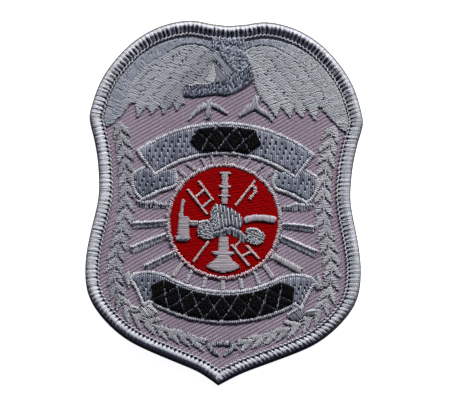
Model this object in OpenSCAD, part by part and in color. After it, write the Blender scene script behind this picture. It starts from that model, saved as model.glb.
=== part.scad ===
// Embroidered cloth patch in the shape of a fire service shield badge, lying flat.
// X runs across the patch, Y towards the eagle and Z up from the back of the patch.

/* [Patch] */
// Width of the whole patch
patch_w = 67.2; // [60:0.1:76]
// Height of the whole patch
patch_h = 89; // [80:0.5:100]
// Thickness of the twill ground with its backing
ground_t = 1; // [0.8:0.05:1.3]

/* [Border] */
// Width of the merrowed border
border_w = 3.3; // [2.9:0.05:3.7]
// Thickness of the border, from its back to its crown
border_h = 2.4; // [2.1:0.05:3]
// How far the ground reaches into the border
grip = 2.1; // [1.5:0.05:2.4]
// Thread that wraps round the back of the ground
wrap_t = 0.25; // [0.2:0.01:0.4]

/* [Stitching] */
// Height of the filled areas above the ground
fill_h = 0.35; // [0.3:0.05:0.6]
// Height of the satin bars and leaves above the ground
satin_h = 0.4; // [0.3:0.05:0.7]
// Height of the corded edgings above the ground
edging_h = 0.4; // [0.3:0.05:0.7]
// Width of the corded edgings of the ribbons
edging_w = 0.7; // [0.5:0.05:0.85]
// Gap between neighbouring pieces
gap = 0.05; // [0.03:0.01:0.1]

/* [Medallion] */
// Radius of the red disc on a patch of the usual size
disc_r = 13.2; // [12.4:0.1:13.3]
// Width of the cord round the disc
ring_w = 0.85; // [0.7:0.05:0.95]
// Height of that cord above the ground
ring_h = 0.6; // [0.45:0.05:1]
// Height of the helmet and tools above the disc
tool_h = 0.35; // [0.25:0.05:0.6]
// Width of the ladders' rails
rail_w = 0.55; // [0.45:0.05:0.7]
// Width of the ladders' rungs
rung_w = 0.4; // [0.3:0.05:0.5]
// Width of the pike pole
pole_w = 0.55; // [0.4:0.05:0.7]
// Width of the bugle's tube
tube_w = 1.35; // [1:0.05:1.7]

/* [Ribbons] */
// Width of the upper ribbon, between its edgings
upper_w = 6.3; // [6:0.1:6.6]
// Width of the lower ribbon, between its edgings
lower_w = 6.4; // [6.1:0.1:6.6]
// Height of the row of lozenges on each ribbon
lozenge_h = 5.7; // [4.6:0.1:6]
// Width of the bare line between lozenges
lozenge_gap = 0.45; // [0.3:0.05:0.7]

/* [Laurel] */
// Length of a leaf
leaf_l = 4.2; // [3.4:0.1:4.6]
// Width of a leaf
leaf_w = 1.45; // [1:0.05:1.6]
// Distance along the stem from one pair of leaves to the next
leaf_step = 3.05; // [2.85:0.05:4.5]
// Height of a leaf's thread
leaf_h = 0.35; // [0.3:0.05:0.6]
// Width of a leaf's lower edge
leaf_edge = 0.12; // [0.1:0.02:0.16]
// Width of the stem
stem_w = 0.5; // [0.35:0.05:0.8]

/* [Hidden] */

// The artwork is charted by hand on squares, chart_w of them across the patch and chart_h up it.
// A square is a share of the patch's width or height, and [0, 0] is the middle of the patch.
chart_w = 67.2;
chart_h = 89;
// The helmet and tools are charted on finer terms: chart_disc squares make the disc's radius.
chart_disc = 13.2;

// Right half of the outline, from the dip at the top to the tip at the bottom
half_outline = [
    [0, 43.4], [4.2, 43.8], [8.6, 44.5], [13.5, 43.9], [18.6, 42], [23.6, 38.6], [28, 33.8],
    [31, 28.9], [32.8, 23.6], [33.4, 20], [32.3, 15.5], [31.2, 10], [30.7, 3], [31.3, -2],
    [32.6, -7.8], [33.6, -14.5], [33.3, -21], [31.2, -26], [27, -30.8], [22.2, -34.3],
    [15.8, -37.2], [7.1, -40.6], [3.6, -42.3], [0, -44.5]
];
// How far the tip stands aside, the height from which the outline leans towards it, and the tip's own height
tip_aside = -0.6;
tip_from = -41;
tip_low = half_outline[len(half_outline) - 1][1];

// Centre of the medallion
disc_at = [0, -4.4];

// Upper ribbon: centre of its arc, radius of its middle line and half of its angle
upper_centre = [0, -16.3];
upper_mid = 32.2;
upper_half = 36;
// Lozenges on it
upper_count = 4;
upper_span = 32;

// Lower ribbon: centre of its arc, radius of its upper edge and half of its angle
lower_centre = [0, 7.1];
lower_rim = 29.2;
lower_half = 30;
lower_foot = 33;
// Upper edge past the end of the arc, where the ribbon bends over
lower_bend = [[16.2, -17.8], [18, -17.55], [19.8, -17.7], [21.3, -18.15], [22.1, -18.8], [20.7, -20.9]];
lower_heel = [19, -24.7];
// Lozenges on it
lower_count = 9;
lower_span = 66;

// Right tail of the upper ribbon: the middle of its edging, from the ribbon's end round to its lower edge
tail_line = [
    [19.5, 8.45], [20.4, 8], [22, 7.1], [22.6, 6.2], [22.5, 4], [21.7, 2.1], [20.1, 0.5],
    [18.3, 1.5], [16.8, 2.3], [15, 3.05], [12.6, 3.75], [11.9, 4.4], [11.8, 5.6], [12.1, 7.1], [12.6, 8.2]
];

// Rows of a satin bar: x, y and width in millimetres
curl_rows = [
    [14.1, -0.9, 0.9], [16, -0.85, 1.1], [16.8, -0.55, 1.5], [19, -0.55, 1.5], [20.4, -0.55, 1.2], [21.6, 0.1, 0.7]
];
knot_end_rows = [[22.6, -26.2, 1], [21.6, -26.4, 1.3], [20.6, -26.6, 1.1]];

// Right fold and knot of the lower ribbon
fold_line = [[22.4, -18.2], [23, -16.9], [24.1, -18], [24.1, -19.2], [22.9, -21]];
knot_line = [[15.9, -27.2], [17, -25], [19, -24], [20.1, -26.8], [19.6, -27.7], [18.6, -28.2], [17, -28.1]];

// Inner edge of the right wing's leading band, from the crest down to the shoulder
band_line = [
    [3.9, 37.2], [5.7, 38.1], [8.1, 38.7], [11, 38.4], [13.4, 37.4], [16, 36], [18.2, 34.7],
    [20.2, 33.1], [22.4, 30.8], [24, 28.2], [25, 25.5], [26, 22.9], [26.5, 20.7], [27.7, 19]
];
// Far side of the band, past the border, where the border's inner edge cuts it
band_far = [[30, 17.8], [40, 17.8], [40, 50], [3.9, 50]];
// Each wing as a right one: far side under the band, then feather tips and notches towards the body
wing_far = [[4, 50], [40, 50], [40, 20.5]];
wing_tips_left = [
    [25.9, 20.5], [24.6, 22.4], [23.5, 23.9], [22.2, 24.3], [21.8, 20.7], [19.3, 23.8], [18.5, 21.5],
    [16.2, 23.7], [15.6, 21.5], [13.1, 24.3], [12.1, 22.6], [11.1, 23.9], [10.2, 24.2]
];
wing_tips_right = [
    [26.3, 20.5], [24, 22.8], [22.2, 24.6], [21.7, 20.7], [19.3, 24.1], [18.6, 21.4], [16.2, 23.9],
    [15.6, 21.3], [13, 24.2], [12.2, 21.5], [10.2, 23.9]
];
// Body side of the right wing and of the left one
wing_root_right = [[8.4, 26], [6.8, 29], [6.6, 30.8], [5.7, 33.4], [4.8, 35.2], [4, 36.3]];
wing_root_left = [[-11.1, 26.2], [-10.9, 27.4], [-10.1, 28.5], [-8.3, 29.2], [-5, 29.2], [-2.9, 33.6], [-3, 37.5]];
crest_line = [[-3.8, 37.2], [-3.8, 50], [3.8, 50], [3.8, 37.1], [2.6, 36.8], [0, 37.6], [-2, 38.2]];
body_line = [
    [-10.6, 26.6], [-10, 28], [-8.2, 28.8], [-6, 28.7], [-2.9, 29.4], [-2.3, 31.4], [-3, 33.8],
    [-2.4, 34.3], [-2.2, 37], [0, 37.3], [2.6, 36.5], [3.6, 36], [4.4, 34.9], [5.3, 33.2], [6.1, 30.9], [6.2, 29.9],
    [5.2, 29], [4, 28.2], [2.5, 27.4], [0, 26.4], [-2.5, 26.6], [-5, 26.3], [-8, 25.8], [-10.4, 26]
];
beak_line = [[-3.3, 33.9], [-2.5, 31.4], [-3, 29.7], [-5, 29.5], [-5.5, 29.9]];
neck_rows = [[-3.5, 36.9, 1.4], [-2, 35.1, 1.4], [-0.2, 32.9, 1.4], [1.1, 31.3, 1.3]];

// Legs and talons, with the left leg's own places because the eagle looks to one side
leg_left_rows = [
    [[-4.35, 25.4, 1.2], [-4.45, 20.6, 1.2]],
    [[-4.6, 24.2, 1], [-6.2, 23.2, 1.3], [-7.6, 22.1, 1], [-8.6, 20.9, 0.5], [-9.1, 20.3, 0.3]],
    [[-4.2, 24.2, 1], [-2.2, 23.5, 1], [-0.9, 22.7, 0.8], [0.3, 21.9, 0.3]]
];
leg_right_rows = [
    [[7.5, 26.4, 1.2], [7.1, 25, 1.7], [6.8, 23.8, 2]],
    [[6.9, 24.2, 2], [5.4, 23.2, 1.7], [4.2, 22.2, 1], [3.1, 21.4, 0.4]],
    [[6.9, 23.9, 1.4], [8.6, 22.7, 1.1], [10, 22, 1], [10.8, 21.2, 0.7], [11.2, 20.4, 0.4]]
];

// Right laurel: its stem from under the wing down to the tie
laurel_line = [
    [26.2, 19.3], [25.4, 15], [24.7, 10.5], [24.3, 6], [24.2, 1.5], [24.4, -3], [25.1, -7.5], [26, -12],
    [26.5, -16.5], [26, -21], [24.3, -25], [21.3, -27.9], [17.4, -29.8], [13.9, -31.2], [10, -32.5], [6.4, -33.6],
    [3.4, -34.3]
];
// Angle between the stem and a leaf on its outer side, on its inner side, and on its inner side near the tie
outer_lean = 26;
inner_lean = 32;
tie_lean = 14;
tie_leaves = 4;
// Width shares along a leaf, from its foot to its tip: distance along, width
leaf_form = [[0, 0.3], [0.3, 1], [0.62, 0.85], [1, 0.12]];

tie_rows = [
    [-3.5, -35, 0.6], [-2.6, -34.4, 0.9], [-1, -34.15, 0.9], [0.3, -34.15, 0.8], [1.8, -34.2, 1],
    [3.1, -34.7, 0.9], [3.9, -35.4, 0.5]
];
tie_leaf_rows = [[2.9, -34.9, 0.5], [2.3, -35.8, 1.1], [1.3, -36.6, 0.9], [0.5, -37.1, 0.3]];

// Rays: foot near the ring, far end, width at the foot and at the far end
upper_rays = [
    [[9.6, 6.3], [11.5, 8.2], 0.8, 0.9], [[7.2, 8], [9.3, 9.7], 0.8, 0.9],
    [[4.7, 9.2], [6, 10.9], 0.6, 0.6], [[2.9, 9.9], [3.4, 11.5], 0.5, 0.5]
];
side_rays = [
    [[14.4, -5], [22.1, -5.8], 1.1, 1.5], [[13.9, -8.1], [22.6, -11.9], 1.3, 1.8],
    [[12.2, -12.6], [19, -16.1], 1.2, 1.3]
];
lower_rays = [
    [[10.2, -15], [12.2, -17.9], 0.9, 1], [[7.9, -17], [8.85, -19.45], 0.7, 0.8],
    [[4.3, -18.5], [4.75, -20.65], 0.8, 0.8]
];
mid_ray_w = 1;
mid_ray_ends = [11.6, -21];
ray_clear = 0.25;

// Helmet and tools, in squares of the disc from its middle
crown_line = [
    [-3.4, 0.2], [-3.5, 2.2], [-2.2, 4.2], [-0.9, 4.15], [0.9, 3.6], [2.2, 2.9], [3.6, 2],
    [4.3, 0.8], [4.4, -1], [3.8, -1.7], [2, -1.2], [0.5, -1.3], [-1, -2], [-2.2, -2.4]
];
front_line = [
    [-3.6, 0.1], [-5.4, -0.05], [-6.15, -0.35], [-6.3, -1.4], [-6.5, -2.5], [-6.2, -3.5], [-5.3, -4.1],
    [-3.8, -4.4], [-2.7, -4.2], [-2.5, -2.4]
];
brim_rows = [
    [-2.3, -3.5, 0.9], [-1, -3, 1.2], [0.5, -2.3, 1.4], [1.8, -2.2, 1.5], [3.2, -2.7, 1.5],
    [4.4, -3.7, 1.4], [5.2, -4.6, 0.9]
];
rear_line = [
    [5.3, -2.2], [6, -1.5], [7.7, -1.4], [9.1, -2.1], [9.9, -3], [9.9, -4.1], [9.4, -4.9],
    [8, -5.4], [6.6, -5.2], [5.8, -4.6]
];
upper_rails = [[[-9.1, 7.7], [-4.2, 1.7]], [[-6.4, 9.8], [-2.8, 5.1]]];
upper_rungs = [[[-7, 5.9], [-5.1, 7.6]], [[-5.3, 3.5], [-3.2, 5.2]]];
lower_rails = [[[1.9, -5.6], [6.3, -10.7]], [[5.6, -5.7], [8.7, -8.9]]];
lower_rungs = [[[2.7, -6.1], [4, -4.9]], [[4.5, -8.4], [6.9, -7.1]]];
pole_ends = [[7.3, 10], [2.7, 3.9]];
shaft_ends = [[-3.7, -5], [-7.3, -10]];
hook_rows = [
    [6.3, 8.6, 0.5], [7, 8.7, 0.5], [7.5, 8.1, 0.7], [7.5, 7.3, 0.9], [6.9, 6.6, 0.7],
    [6.4, 6.1, 0.5], [6.1, 5.5, 0.9]
];
spike_rows = [[-10.6, 1.2, 0.95], [-10.4, 2.4, 0.6], [-10.3, 3.6, 0.45], [-10.05, 4.6, 0.5], [-10, 5.1, 0.65]];
nozzle_line = [
    [-11, 1.2], [-8.9, 1.1], [-8.6, 0.5], [-8.5, -3.7], [-8.1, -3.7], [-8.4, -4.8],
    [-11.5, -4.9], [-11.8, -3.8], [-11.3, -3.7]
];
handle_rows = [[-8.35, -0.6, 1.1], [-7.4, -0.65, 1.1], [-6.45, -0.6, 1]];
grip_rows = [[5, 0.2, 1.2], [6, 0.8, 1.3], [7.6, 1.05, 1.3], [10, 1, 1.3], [11.5, 0.75, 1.5], [12.5, 0.5, 1.2]];
// Bugle: y and width share of its tube's width, from its mouth down
bugle_top_y = [11.5, 12.1];
bugle_neck = [4.4, 11.7];
bugle_rings = [6.3, 8.5];
bugle_ring_w = 2.7;
bugle_ring_t = 0.4;
bell_line = [
    [-1, -3.7], [-1.3, -7.5], [-2.7, -7.4], [-2.6, -8], [-1.5, -8.3], [-2, -9.3], [-4.1, -10.9], [-4, -11.3],
    [-2, -12.1], [0, -12.4], [2, -12.1], [4, -11.3], [4.1, -10.9], [2, -9.3], [1.5, -8.3],
    [2.6, -8], [2.7, -7.4], [1.3, -7.5], [1, -3.7]
];

// Shares of a border section: depth in from the edge, height from the back
border_crown = [[0, 0.44], [0.05, 0.68], [0.16, 0.87], [0.3, 0.97], [0.44, 1], [0.58, 0.97], [0.71, 0.86], [0.82, 0.69]];
border_back = [[0.14, 0], [0.03, 0.18]];
// Shares of a satin section: distance across, height
satin_form = [[-0.5, 0], [-0.5, 0.35], [-0.26, 0.88], [0, 1], [0.26, 0.88], [0.5, 0.35], [0.5, 0]];
cord_form = [[-0.5, 0], [-0.5, 0.4], [-0.22, 1], [0.22, 1], [0.5, 0.4], [0.5, 0]];

// The art keeps its proportions on a narrower or lower patch
art = min(patch_w / chart_w, patch_h / chart_h);
red_r = disc_r * art;

ground_z = wrap_t + gap;
ground_top = ground_z + ground_t;
seat_z = ground_top + gap;
band_z = seat_z + fill_h + gap;
slot_depth = border_w - grip;
steps = 2;

function at(p) = [p[0] * patch_w / chart_w, p[1] * patch_h / chart_h];
function chart(points) = [for (p = points) at(p)];
function on_disc(points) = [for (p = points) at(disc_at) + [p[0], p[1]] * red_r / chart_disc];
function rows_on_disc(rows) =
    [for (r = rows) let (p = on_disc([r])[0]) [p[0], p[1], r[2] * red_r / chart_disc]];
function charted_rows(rows) = [for (r = rows) let (p = at(r)) [p[0], p[1], r[2] * art]];
function other_side(points) = [for (p = points) len(p) > 2 ? [-p[0], p[1], p[2]] : [-p[0], p[1]]];
function reversed(list) = [for (i = [len(list) - 1:-1:0]) list[i]];
function unit(v) = v / norm(v);
function left_of(v) = [-v[1], v[0]];

// Points on a smooth curve through the given ones, with "steps" spans between two of them
function smooth(points) = [
    for (i = [0:len(points) - 2])
        let (a = points[max(i - 1, 0)], b = points[i], c = points[i + 1], d = points[min(i + 2, len(points) - 1)])
            for (k = [0:steps - 1])
                let (t = k / steps)
                    0.5 * (2 * b + (c - a) * t + (2 * a - 5 * b + 4 * c - d) * t * t
                        + (3 * b - a - 3 * c + d) * t * t * t),
    points[len(points) - 1]
];

// Way to move each point so that both of its edges shift one unit to the left
function shifts(points, closed) = [
    for (i = [0:len(points) - 1])
        let (
            n = len(points),
            before = closed || i > 0 ? points[(i + n - 1) % n] : points[i],
            after = closed || i < n - 1 ? points[(i + 1) % n] : points[i],
            a = before == points[i] ? after - points[i] : points[i] - before,
            b = after == points[i] ? a : after - points[i],
            m = left_of(unit(a)), k = left_of(unit(b))
        ) (m + k) / (1 + m * k)
];
function shifted(points, d, closed = true) =
    let (s = shifts(points, closed)) [for (i = [0:len(points) - 1]) points[i] + s[i] * d];

// The whole outline runs anticlockwise from the tip up the right side
right_side = smooth(half_outline);
outline = chart([
    for (p = concat(reversed(right_side), [for (i = [1:len(right_side) - 2]) [-right_side[i][0], right_side[i][1]]]))
        [p[0] + tip_aside * max(0, (tip_from - p[1]) / (tip_from - tip_low)), p[1]]
]);

function arc(centre, r, from, to, n) =
    [for (i = [0:n]) let (a = from + (to - from) * i / n) centre + r * [sin(a), cos(a)]];

// Upper ribbon's outline, anticlockwise from its lower right corner
upper_line = chart(concat(
    arc(upper_centre, upper_mid + upper_w / 2, upper_half, -upper_half, 16),
    arc(upper_centre, upper_mid - upper_w / 2, -upper_half, upper_half, 14)
));
// Lower ribbon's outline, anticlockwise from its right end
lower_line = chart(concat(
    reversed(lower_bend),
    arc(lower_centre, -lower_rim, -lower_half, lower_half, 14),
    other_side(lower_bend),
    [[-lower_heel[0], lower_heel[1]]],
    arc(lower_centre, -lower_rim - lower_w, lower_foot - 3, 3 - lower_foot, 14),
    [lower_heel]
));

// Closed solid through a list of rings, each with as many points
module skin(rings, closed) {
    n = len(rings);
    k = len(rings[0]);
    sides = [
        for (i = [0:n - (closed ? 1 : 2)], j = [0:k - 1])
            let (a = i * k, b = ((i + 1) % n) * k, next = (j + 1) % k)
                each [[a + j, b + j, a + next], [b + j, b + next, a + next]]
    ];
    ends = closed ? [] : [[for (j = [0:k - 1]) j], [for (j = [k - 1:-1:0]) (n - 1) * k + j]];
    polyhedron([for (ring = rings) each ring], concat(sides, ends), convexity = 6);
}

// Satin bar along a line of rows, each with x, y and width
module satin(rows, rise, form = satin_form) {
    points = [for (r = rows) [r[0], r[1]]];
    s = shifts(points, false);
    skin([
        for (i = [0:len(rows) - 1])
            [for (f = form) let (p = points[i] - s[i] * rows[i][2] * f[0]) [p[0], p[1], rise * f[1]]]
    ], false);
}

// Corded edging along a closed or an open line
module cord(points, closed) {
    s = shifts(points, closed);
    translate([0, 0, seat_z])
        skin([
            for (i = [0:len(points) - 1])
                [for (f = cord_form) let (p = points[i] - s[i] * edging_w * f[0]) [p[0], p[1], edging_h * f[1]]]
        ], closed);
}

// Flat outline of a bar along rows of x, y and width
module strip(rows) {
    points = [for (r = rows) [r[0], r[1]]];
    s = shifts(points, false);
    polygon(concat(
        [for (i = [0:len(rows) - 1]) points[i] - s[i] * rows[i][2] / 2],
        [for (i = [len(rows) - 1:-1:0]) points[i] + s[i] * rows[i][2] / 2]
    ));
}

module bar(ends, w) strip([[ends[0][0], ends[0][1], w], [ends[1][0], ends[1][1], w]]);

// Area inside the border's inner edge
module field() polygon(shifted(outline, border_w + gap));

// Filled area on the ground, and a tool on the disc
module fill(rise = fill_h) translate([0, 0, seat_z]) linear_extrude(rise) children();
module tool(rise = tool_h) translate([0, 0, band_z]) linear_extrude(rise) children();

module twill_ground() {
    color([0.62, 0.56, 0.63])
        translate([0, 0, ground_z])
            linear_extrude(ground_t) polygon(shifted(outline, slot_depth + gap));
}

module merrowed_border() {
    lip = ground_top + gap;
    section = concat(
        [for (s = border_back) [s[0] * border_w, s[1] * border_h]],
        [for (s = border_crown) [s[0] * border_w, s[1] * border_h]],
        [[border_w, lip + (border_h - lip) * 0.22], [border_w, lip], [slot_depth, lip],
            [slot_depth, wrap_t], [border_w, wrap_t], [border_w, 0]]
    );
    s = shifts(outline, true);
    color([0.7, 0.71, 0.75])
        skin([
            for (i = [0:len(outline) - 1])
                [for (q = reversed(section)) let (p = outline[i] + s[i] * q[0]) [p[0], p[1], q[1]]]
        ], true);
}

module medallion_disc() {
    color([0.6, 0.02, 0.02])
        translate([at(disc_at)[0], at(disc_at)[1], seat_z]) cylinder(h = fill_h, r = red_r, $fn = 96);
}

module medallion_ring() {
    inner = red_r + gap;
    color([0.72, 0.73, 0.76])
        translate([at(disc_at)[0], at(disc_at)[1], seat_z])
            rotate_extrude($fn = 96)
                translate([inner + ring_w / 2, 0])
                    polygon([for (f = cord_form) [f[0] * ring_w, f[1] * ring_h]]);
}

module upper_ribbon() color([0.38, 0.41, 0.48]) fill() polygon(upper_line);

module upper_edging()
    color([0.74, 0.75, 0.78]) cord(shifted(upper_line, -gap - edging_w / 2), true);

// Row of lozenges with triangles between them, bent along an arc whose angles are as on a clock
module lozenge_row(centre, r, count, span, side) {
    pitch = span / count;
    half_h = lozenge_h / 2;
    arc_pitch = abs(r) * pitch * PI / 180;
    slack = lozenge_gap / 2 * sqrt(pow(arc_pitch / 2, 2) + half_h * half_h) / half_h;
    trim = slack / abs(r) * 180 / PI;
    drop = slack * lozenge_h / arc_pitch;
    translate([0, 0, band_z])
        linear_extrude(fill_h) {
            for (i = [0:count - 1]) {
                a = (i + 0.5) * pitch - span / 2;
                polygon(on_arc(centre, r, side, [
                    [a - pitch / 2 + trim, 0], [a, -half_h + drop], [a + pitch / 2 - trim, 0], [a, half_h - drop]
                ]));
            }
            for (i = [1:count - 1], end = [-1, 1]) {
                a = i * pitch - span / 2;
                polygon(on_arc(centre, r, side, [
                    [a - pitch / 2 + trim, end * half_h], [a, end * drop], [a + pitch / 2 - trim, end * half_h]
                ]));
            }
        }
}
function on_arc(centre, r, side, points) =
    chart([for (p = points) centre + (r + p[1]) * side * [sin(p[0]), cos(p[0])]]);

module upper_lozenges()
    color([0.02, 0.02, 0.03]) lozenge_row(upper_centre, upper_mid, upper_count, upper_span, 1);

// Tail of the upper ribbon, which passes behind the ribbon's end
module tail(right) {
    line = right ? tail_line : other_side(reversed(tail_line));
    fill() difference() {
        offset(delta = -edging_w / 2 - gap) polygon(chart(line));
        offset(delta = edging_w + 2 * gap) polygon(upper_line);
    }
}
module upper_tail_left() color([0.36, 0.39, 0.46]) tail(false);
module upper_tail_right() color([0.36, 0.39, 0.46]) tail(true);
module tail_edging_left() color([0.74, 0.75, 0.78]) cord(chart(other_side(tail_line)), false);
module tail_edging_right() color([0.74, 0.75, 0.78]) cord(chart(tail_line), false);

module raised(rows) translate([0, 0, seat_z]) satin(charted_rows(rows), satin_h);

module upper_curl_left() color([0.7, 0.71, 0.75]) raised(other_side(curl_rows));
module upper_curl_right() color([0.7, 0.71, 0.75]) raised(curl_rows);

module lower_ribbon() color([0.38, 0.41, 0.48]) fill() polygon(lower_line);

module lower_edging()
    color([0.74, 0.75, 0.78]) cord(shifted(lower_line, -gap - edging_w / 2), true);

module lower_lozenges()
    color([0.02, 0.02, 0.03])
        lozenge_row(lower_centre, lower_rim + lower_w / 2, lower_count, lower_span, -1);

// Fold or knot at the lower ribbon's end, clear of its edging
module beside_lower(line)
    fill(satin_h) difference() {
        polygon(chart(line));
        offset(delta = edging_w + 2 * gap) polygon(lower_line);
    }
module lower_fold_left() color([0.7, 0.71, 0.75]) beside_lower(other_side(fold_line));
module lower_fold_right() color([0.7, 0.71, 0.75]) beside_lower(fold_line);
module knot_left() color([0.66, 0.68, 0.72]) beside_lower(other_side(knot_line));
module knot_right() color([0.66, 0.68, 0.72]) beside_lower(knot_line);
module knot_end_left() color([0.6, 0.62, 0.68]) raised(other_side(knot_end_rows));
module knot_end_right() color([0.6, 0.62, 0.68]) raised(knot_end_rows);

module band_area(right) {
    line = concat(band_line, band_far);
    polygon(chart(right ? line : other_side(line)));
}
module neck_area() strip(charted_rows(neck_rows));

// Wing, cut clear of its band and of the eagle's body
module wing(right) {
    tips = concat(wing_far, right ? wing_tips_right : wing_tips_left);
    line = right ? concat(tips, wing_root_right) : concat(other_side(tips), wing_root_left);
    fill() intersection() {
        field();
        difference() {
            polygon(chart(line));
            offset(delta = 2 * gap) band_area(right);
            offset(delta = 2 * gap) polygon(chart(body_line));
            offset(delta = 2 * gap) polygon(chart(beak_line));
            offset(delta = 2 * gap) neck_area();
            offset(delta = 2 * gap) polygon(chart(crest_line));
            offset(delta = 2 * gap) leg_area(right ? leg_right_rows : leg_left_rows);
        }
    }
}
module wing_left() color([0.64, 0.66, 0.69]) wing(false);
module wing_right() color([0.64, 0.66, 0.69]) wing(true);

module wing_band(right)
    fill(satin_h) intersection() {
        field();
        difference() {
            band_area(right);
            offset(delta = 2 * gap) polygon(chart(crest_line));
        }
    }
module wing_band_left() color([0.6, 0.62, 0.67]) wing_band(false);
module wing_band_right() color([0.68, 0.7, 0.74]) wing_band(true);

module crest()
    color([0.58, 0.6, 0.66]) fill() intersection() {
        field();
        difference() {
            polygon(chart(crest_line));
            offset(delta = 2 * gap) neck_area();
        }
    }

module neck() color([0.62, 0.64, 0.68]) raised(neck_rows);

module beak() color([0.72, 0.73, 0.76]) fill(satin_h) polygon(chart(beak_line));

module eagle_body()
    color([0.42, 0.45, 0.52]) fill() difference() {
        polygon(chart(body_line));
        offset(delta = 2 * gap) neck_area();
        offset(delta = 2 * gap) polygon(chart(beak_line));
        offset(delta = 2 * gap) polygon(chart(crest_line));
    }

module leg_area(parts) for (rows = parts) strip(charted_rows(rows));
module leg_left() color([0.68, 0.69, 0.73]) fill(satin_h) leg_area(leg_left_rows);
module leg_right() color([0.68, 0.69, 0.73]) fill(satin_h) leg_area(leg_right_rows);

// One leaf from its foot at the origin towards +Y
module leaf()
    polygon([
        for (f = leaf_form) [f[1] * leaf_w / 2, f[0] * leaf_l] * art,
        for (f = reversed(leaf_form)) [-f[1] * leaf_w / 2, f[0] * leaf_l] * art
    ]);

// Everything that the laurels keep clear of inside the border
module beside_laurels()
    for (side = [-1, 1]) scale([side, 1]) {
        offset(delta = edging_w / 2) polygon(chart(tail_line));
        polygon(chart(fold_line));
        polygon(chart(knot_line));
        strip(charted_rows(knot_end_rows));
        strip(charted_rows(curl_rows));
        for (r = side_rays) strip(charted_rows([[r[0][0], r[0][1], r[2]], [r[1][0], r[1][1], r[3]]]));
        offset(delta = edging_w + gap) polygon(lower_line);
        strip(charted_rows(tie_rows));
        strip(charted_rows(tie_leaf_rows));
    }

function lengths(line) = [for (i = 0, s = 0; i < len(line); s = s + (i < len(line) - 1 ? norm(line[i + 1] - line[i]) : 0), i = i + 1) s];
// Place and heading of the point that lies a distance along a line
function along(line, sums, d) =
    let (i = max([for (k = [0:len(line) - 2]) sums[k] <= d ? k : 0]), v = unit(line[i + 1] - line[i]))
        [line[i] + v * (d - sums[i]), atan2(v[1], v[0])];

module laurel_area() {
    line = chart(smooth(other_side(laurel_line)));
    sums = lengths(line);
    total = sums[len(sums) - 1];
    pitch = leaf_step * art;
    pairs = floor((total - pitch / 2) / pitch);
    difference() {
        intersection() {
            union() {
                strip([for (p = line) [p[0], p[1], stem_w]]);
                for (i = [0:pairs], lean = [-outer_lean, i > pairs - tie_leaves ? tie_lean : inner_lean]) {
                    place = along(line, sums, i * pitch);
                    translate(place[0]) rotate(place[1] - 90 + lean) leaf();
                }
            }
            field();
        }
        offset(delta = 2 * gap) beside_laurels();
    }
}
// Its edge is bevelled by a step, as thread is lower there
module laurel()
    translate([0, 0, seat_z]) {
        linear_extrude(leaf_h * 0.55) laurel_area();
        linear_extrude(leaf_h) offset(delta = -leaf_edge) laurel_area();
    }
module laurel_left() color([0.68, 0.69, 0.73]) laurel();
module laurel_right() color([0.68, 0.69, 0.73]) mirror([1, 0, 0]) laurel();

module laurel_tie()
    color([0.7, 0.71, 0.75]) fill(satin_h) {
        strip(charted_rows(tie_rows));
        strip(charted_rows(tie_leaf_rows));
        strip(charted_rows(other_side(tie_leaf_rows)));
    }

// Ray from just outside the ring to its far end
module ray(r, right) {
    far = at(right ? r[1] : [-r[1][0], r[1][1]]);
    foot = at(right ? r[0] : [-r[0][0], r[0][1]]);
    centre = at(disc_at);
    start = centre + unit(foot - centre) * (red_r + gap + ring_w + ray_clear);
    mid = (start + far) / 2;
    w = (r[2] + r[3]) / 2;
    translate([0, 0, seat_z])
        satin([[start[0], start[1], r[2]], [mid[0], mid[1], w], [far[0], far[1], r[3]]], satin_h);
}
module mid_ray(end) {
    centre = at(disc_at);
    up = sign(end - disc_at[1]);
    start = [0, centre[1] + up * (red_r + gap + ring_w + ray_clear)];
    translate([0, 0, seat_z])
        satin([[0, start[1], mid_ray_w], [0, at([0, end])[1], mid_ray_w]], satin_h);
}
module rays_upper()
    color([0.66, 0.68, 0.72]) {
        for (r = upper_rays, right = [false, true]) ray(r, right);
        mid_ray(mid_ray_ends[0]);
    }
module rays_left() color([0.6, 0.62, 0.68]) for (r = side_rays) ray(r, false);
module rays_right() color([0.6, 0.62, 0.68]) for (r = side_rays) ray(r, true);
module rays_lower()
    color([0.7, 0.71, 0.75]) {
        for (r = lower_rays, right = [false, true]) ray(r, right);
        mid_ray(mid_ray_ends[1]);
    }

module brim_area() strip(rows_on_disc(brim_rows));
module helmet_crown()
    color([0.6, 0.63, 0.68]) tool() difference() {
        polygon(on_disc(crown_line));
        offset(delta = 2 * gap) brim_area();
    }
module helmet_front()
    color([0.66, 0.68, 0.7]) tool() difference() {
        polygon(on_disc(front_line));
        offset(delta = 2 * gap) polygon(on_disc(crown_line));
        offset(delta = 2 * gap) brim_area();
    }
module helmet_brim()
    color([0.6, 0.62, 0.7]) translate([0, 0, band_z]) satin(rows_on_disc(brim_rows), satin_h);
module helmet_rear()
    color([0.66, 0.67, 0.7]) tool() difference() {
        polygon(on_disc(rear_line));
        offset(delta = 2 * gap) brim_area();
    }

module bugle_upper()
    color([0.7, 0.7, 0.71]) tool() translate(at(disc_at)) scale(red_r / chart_disc) {
        translate([-tube_w / 2, bugle_neck[0]]) square([tube_w, bugle_neck[1] - bugle_neck[0]]);
        translate([-bugle_ring_w / 2, bugle_top_y[0]]) square([bugle_ring_w, bugle_top_y[1] - bugle_top_y[0]]);
        for (y = bugle_rings)
            translate([-bugle_ring_w / 2, y - bugle_ring_t / 2]) square([bugle_ring_w, bugle_ring_t]);
    }
module bugle_lower() color([0.7, 0.7, 0.71]) tool() polygon(on_disc(bell_line));

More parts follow.
